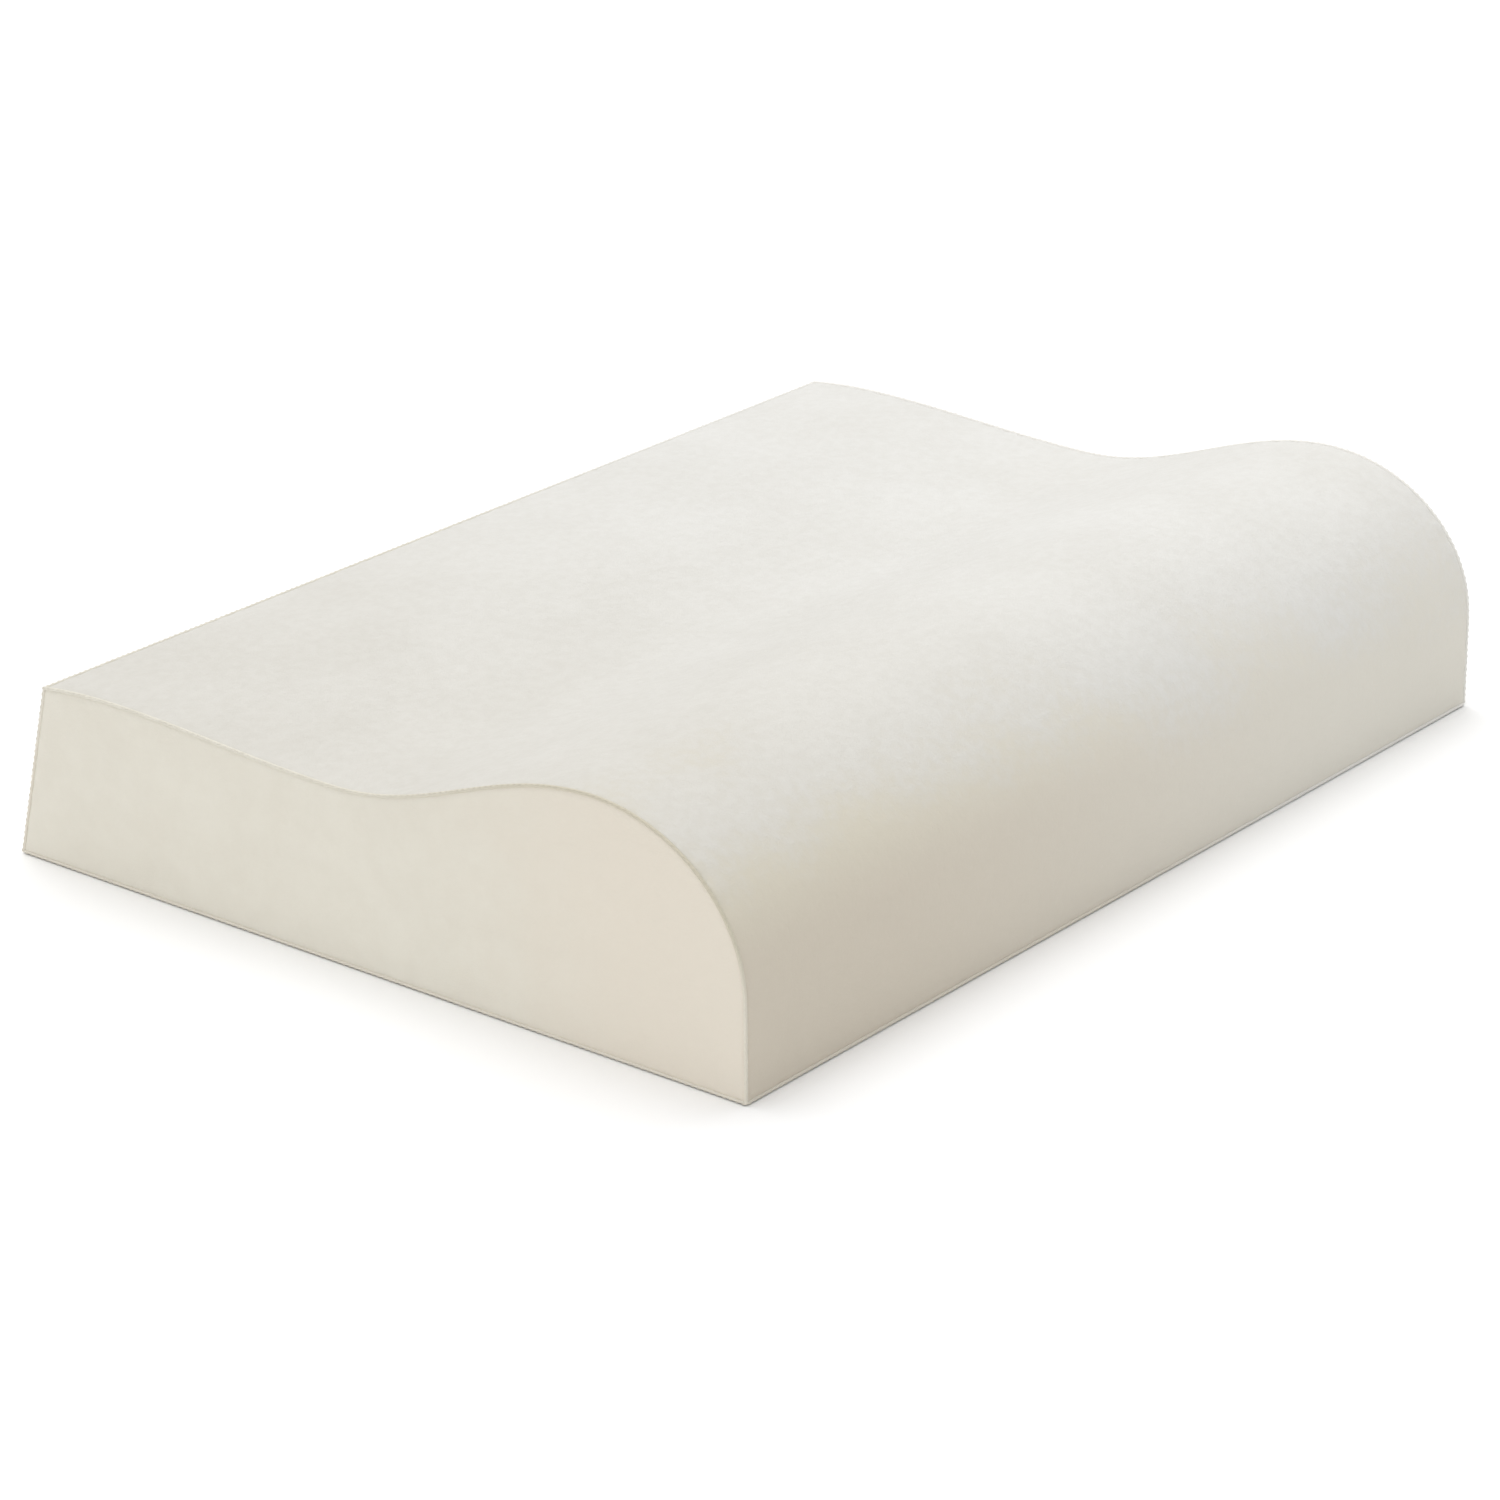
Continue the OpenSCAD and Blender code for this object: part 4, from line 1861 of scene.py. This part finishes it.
@dataclass
class Slider:
    """The zip's slider, which runs along the chain."""

    rear: RearFace
    finishes: Finishes
    long: float = 12 * MM
    wide: float = 8.3 * MM
    plate_t: float = 0.8 * MM
    face_out: float = 1.3 * MM
    back_out: float = -2.8 * MM
    corner_r: float = 1.6 * MM
    narrowing: float = 0.78
    neck: Triple = (3.5 * MM, 0.4 * MM, 3.6 * MM)
    neck_at: Triple = (3.75 * MM, 0, -0.75 * MM)
    flange: Triple = (8.4 * MM, 0.7 * MM, 2.0 * MM)
    flange_at: Triple = (0.9 * MM, 3.75 * MM, -0.05 * MM)
    arch_foot: float = 3.2 * MM
    arch_level: float = 1.6 * MM
    arch_t: float = 0.8 * MM
    arch_wide: float = 2.2 * MM
    arch_squash: float = 0.74

    def plate(self, out: float) -> Piece:
        """One of its two plates: a slab that narrows to the rear, with rounded corners.

        Args:
            out: How far out its middle lies.

        Returns:
            The new piece.
        """
        piece = block((self.long, self.wide, self.plate_t), (0, 0, out))
        open_to_edit(piece)
        cut((self.long * 0.1, 0, 0), (1, 0, 0))
        select_faces(piece, lambda c, n: n.x < -0.9)
        bpy.ops.transform.resize(value=(1, self.narrowing, 1), center_override=(0, 0, out))
        thick, end = self.plate_t, self.long / 2
        select_edges(piece, lambda a, b: abs(a.z - b.z) > thick * 0.9 and abs(abs(a.x) - end) < 1e-5)
        bpy.ops.mesh.bevel(offset=self.corner_r, segments=5, affect="EDGES")
        bpy.ops.object.mode_set(mode="OBJECT")
        return piece

    def arch(self) -> Piece:
        """The flattened arch on its face, which carries the pull tab.

        Returns:
            The new piece.
        """
        deselect()
        bpy.ops.mesh.primitive_plane_add(size=1, location=(self.arch_foot, 0, self.arch_level))
        arch = bpy.context.object
        arch.scale = (self.arch_t, self.arch_wide, 1)
        bpy.ops.object.transform_apply(location=True, scale=True)
        open_to_edit(arch)
        foot = (0, 0, self.arch_level)
        bpy.ops.mesh.select_all(action="SELECT")
        bpy.ops.mesh.spin(steps=14, angle=math.pi, center=foot, axis=(0, 1, 0))
        bpy.ops.mesh.select_all(action="SELECT")
        bpy.ops.transform.resize(value=(1, 1, self.arch_squash), center_override=foot)
        bpy.ops.object.mode_set(mode="OBJECT")
        return arch

    def body(self, x: float) -> Piece:
        """The whole slider: two plates joined by a neck, side flanges and the arch.

        Args:
            x: Where its middle lies.

        Returns:
            The new piece.
        """
        parts = [self.plate(self.face_out), self.plate(self.back_out), block(self.neck, self.neck_at)]
        at_x, at_y, at_z = self.flange_at
        parts += [block(self.flange, (at_x, side * at_y, at_z)) for side in (-1, 1)]
        parts.append(self.arch())
        for part in parts:
            finish_mesh(part)
            round_edges(part, 0.16 * MM, 2, 40)
        piece = join("slider_body", parts)
        smooth_by(piece, 40)
        return self.rear.stand(piece, x)

    def build(self) -> float:
        """Make the slider.

        Returns:
            The x of its middle.
        """
        low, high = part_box("zip_slider")
        middle = (low.x + high.x) / 2
        self.finishes.on(self.body(middle), Slot.METAL, Body.SLIDER, "zip_slider")
        return middle


@dataclass
class PullTab:
    """The pull tab, which turns on its bar in the slider's arch."""

    rear: RearFace
    finishes: Finishes
    long: float = 24 * MM
    wide: float = 6 * MM
    thick: float = 1.2 * MM
    arm: float = 5 * MM
    arm_in: float = 1.75 * MM
    waist: float = 0.86
    level: float = 2.6 * MM
    rim: float = 0.7 * MM
    press: tuple[float, float] = (0.12 * MM, -0.25 * MM)
    end_r: float = 2.5 * MM
    bar_r: float = 0.6 * MM
    bar_half: float = 2.4 * MM

    def plate(self) -> Piece:
        """The tapered plate, with a pressed panel on each face and two arms.

        Returns:
            The new piece.
        """
        long, wide, thick, arm, arm_in = self.long, self.wide, self.thick, self.arm, self.arm_in
        piece = block((long - arm, wide, thick), (-(long + arm) / 2, 0, self.level))
        open_to_edit(piece)
        select_faces(piece, lambda c, n: n.x > 0.9)
        bpy.ops.transform.resize(value=(1, self.waist, 1), center_override=(0, 0, self.level))
        for side in (-1, 1):
            cut((0, side * arm_in, 0), (0, 1, 0))
        select_faces(piece, lambda c, n: n.x > 0.9 and abs(c.y) > arm_in)
        bpy.ops.mesh.extrude_region_move(TRANSFORM_OT_translate={"value": (arm, 0, 0)})
        select_faces(piece, lambda c, n: abs(n.z) > 0.9 and c.x < -arm and abs(c.y) < arm_in)
        bpy.ops.mesh.inset(thickness=self.rim, use_individual=True)
        bpy.ops.mesh.inset(thickness=self.press[0], depth=self.press[1], use_individual=True)
        open_to_edit(piece)
        outer = -long + 0.1 * MM
        select_edges(
            piece, lambda a, b: abs(a.z - b.z) > thick * 0.9 and a.x < outer and abs(a.y) > wide * 0.4
        )
        bpy.ops.mesh.bevel(offset=self.end_r, segments=7, affect="EDGES")
        bpy.ops.object.mode_set(mode="OBJECT")
        round_edges(piece, 0.16 * MM, 2, 35)
        return piece

    def build(self, x: float) -> None:
        """Make the tab.

        Args:
            x: Where its bar lies.
        """
        plate = self.plate()
        deselect()
        bpy.ops.mesh.primitive_cylinder_add(
            radius=self.bar_r,
            depth=2 * self.bar_half,
            vertices=20,
            location=(0, 0, self.level),
            rotation=(math.pi / 2, 0, 0),
        )
        bar = bpy.context.object
        bpy.ops.object.transform_apply(location=True, rotation=True)
        piece = join("pull_tab_plate", [plate, bar])
        smooth_by(piece, 40)
        self.finishes.on(self.rear.stand(piece, x), Slot.METAL, Body.TAB, "zip_pull_tab")


@dataclass
class Label:
    """A blank satin label: a folded loop that hangs from the rear top seam."""

    rear: RearFace
    finishes: Finishes
    drop: float = 27 * MM
    gap: float = 0.55 * MM
    seam_in: float = 1.4 * MM
    tucked: float = 1.3 * MM
    bow: float = 1.5 * MM
    clear: float = 0.1 * MM
    cloth_t: float = 0.16 * MM

    def loop(self) -> tuple[np.ndarray, np.ndarray]:
        """The label's section, from the seam down its inner face, round its fold and up again.

        Returns:
            How far up the rear face and how far out from it each point lies.
        """
        start = self.rear.half_high - self.seam_in
        straight = np.linspace(0, self.drop, 24)
        turn = np.linspace(0, math.pi, 9)[1:-1]
        fold = self.gap / 2
        tail = start - self.drop - fold * np.sin(turn)
        up = np.concatenate([start - straight, tail, start - straight[::-1]])
        bow = self.bow * (straight / self.drop) ** 1.6
        bow -= self.tucked * (1 - smooth_step(straight, 0, 3.5 * MM))
        inner = self.clear + bow
        out = np.concatenate([inner, inner[-1] + fold * (1 - np.cos(turn)), (inner + self.gap)[::-1]])
        return up, out

    def build(self) -> None:
        """Make the label."""
        low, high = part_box("care_label")
        wide = high.x - low.x
        up, out = self.loop()
        run = np.concatenate([[0], np.hypot(np.diff(up), np.diff(out)).cumsum()])[:, None]
        x = np.linspace(low.x, high.x, 17)
        across = np.broadcast_to(x, (len(up), len(x)))
        side = (across - (low.x + high.x) / 2) / wide
        up, out = up[:, None], out[:, None]
        fall = (up[0] - up) / self.drop
        lift = out + 0.9 * MM * fall * side + 0.5 * MM * fall * np.sin(side * 5 + 0.6)
        lift = np.where(out > 0, np.maximum(lift, out * 0.5 + 0.05 * MM), lift)
        points = self.rear.points(across, np.broadcast_to(up, across.shape), lift)
        normals = np.broadcast_to(-self.rear.outward, points.shape).copy()
        uv = np.stack([across, np.broadcast_to(run, across.shape)], axis=2)
        piece = Sheet(points, normals, uv).piece("blank_label", self.cloth_t)
        self.finishes.on(piece, Slot.LABEL, Body.PILLOW, "care_label")


# ---------------------------------------------------------------- the studio


@dataclass
class Studio:
    """A plain pale floor, soft light from above and the left, and the camera."""

    back: Triple = (-0.72, -0.5824, 0.3774)
    target: Triple = (-0.001, 0.0085, 0.0103)
    away: float = 2.0896
    lens: float = 118.9
    roll_degrees: float = -0.456
    floor_size: float = 30.0
    floor_gap: float = 0.0002
    ambient: float = 0.56

    def build(self) -> None:
        """Set up the floor, the lights and the camera."""
        self.floor()
        self.surround()
        self.sun("key_light", (0.1, 0.25, 0.95), 1.9, 60)
        self.sun("fill_light", (-0.95, -0.05, 0.2), 0.62, 60)
        self.panel("far_light", (0.85, -0.45, 0.95), (0.25, 0.0, 0.08), 0.8, 1.45)
        self.camera()
        bpy.context.scene.view_settings.view_transform = "Standard"

    def floor(self) -> None:
        """A large pale floor just under the pillow."""
        deselect()
        bpy.ops.mesh.primitive_plane_add(size=self.floor_size, location=(0, 0, -self.floor_gap))
        floor = bpy.context.object
        floor.name = "studio_floor"
        tree = Tree(bpy.data.materials.new("pale_floor"))
        grain = tree.noise(tree.place(), 0.4, 2)
        tree.into("Base Color", tree.mix(grain, (0.92, 0.92, 0.92), (0.93, 0.93, 0.93)))
        tree.set(Roughness=0.9, Specular_IOR_Level=0.1)
        floor.data.materials.append(tree.material)

    def surround(self) -> None:
        """An even white surround."""
        world = bpy.data.worlds.new("studio")
        world.use_nodes = True
        background = world.node_tree.nodes["Background"]
        background.inputs["Color"].default_value = (1, 1, 1, 1)
        background.inputs["Strength"].default_value = self.ambient
        bpy.context.scene.world = world

    def sun(self, name: str, toward: Triple, strength: float, angle: float) -> None:
        """A broad light.

        Args:
            name: The light's name.
            toward: The direction from the pillow to the light.
            strength: Its irradiance.
            angle: How wide it looks from the pillow, in degrees.
        """
        light = bpy.data.lights.new(name, "SUN")
        light.energy = strength
        light.angle = math.radians(angle)
        lamp = link(bpy.data.objects.new(name, light))
        lamp.rotation_euler = Vector(toward).to_track_quat("Z", "Y").to_euler()

    def panel(self, name: str, place: Triple, aim: Triple, size: float, watts: float) -> None:
        """A square light near the pillow.

        Args:
            name: The light's name.
            place: Where it stands.
            aim: The point that it faces.
            size: Its side.
            watts: Its power.
        """
        light = bpy.data.lights.new(name, "AREA")
        light.energy = watts
        light.size = size
        lamp = link(bpy.data.objects.new(name, light))
        lamp.location = place
        lamp.rotation_euler = (Vector(place) - Vector(aim)).to_track_quat("Z", "Y").to_euler()

    def camera(self) -> None:
        """The camera, set back along its own line of sight."""
        data = bpy.data.cameras.new("camera")
        data.lens = self.lens
        data.sensor_width = 36
        camera = link(bpy.data.objects.new("camera", data))
        camera.location = Vector(self.target) + Vector(self.back) * self.away
        turn = Quaternion((0, 0, 1), math.radians(self.roll_degrees))
        camera.rotation_euler = (Vector(self.back).to_track_quat("Z", "Y") @ turn).to_euler()
        bpy.context.scene.camera = camera


def main() -> None:
    """Build the pillow, piece by piece, and the studio round it."""
    logging.basicConfig(level=logging.INFO, format="%(message)s")
    finishes = Finishes()
    outline = Outline()
    rear = RearFace(outline)
    cover = Cover(outline, rear, finishes)
    Filling(outline, finishes, cover.half).build()
    cover.build()
    Zip(rear, finishes).build()
    PullTab(rear, finishes).build(Slider(rear, finishes).build())
    Label(rear, finishes).build()
    Studio().build()


if __name__ == "__main__":
    main()
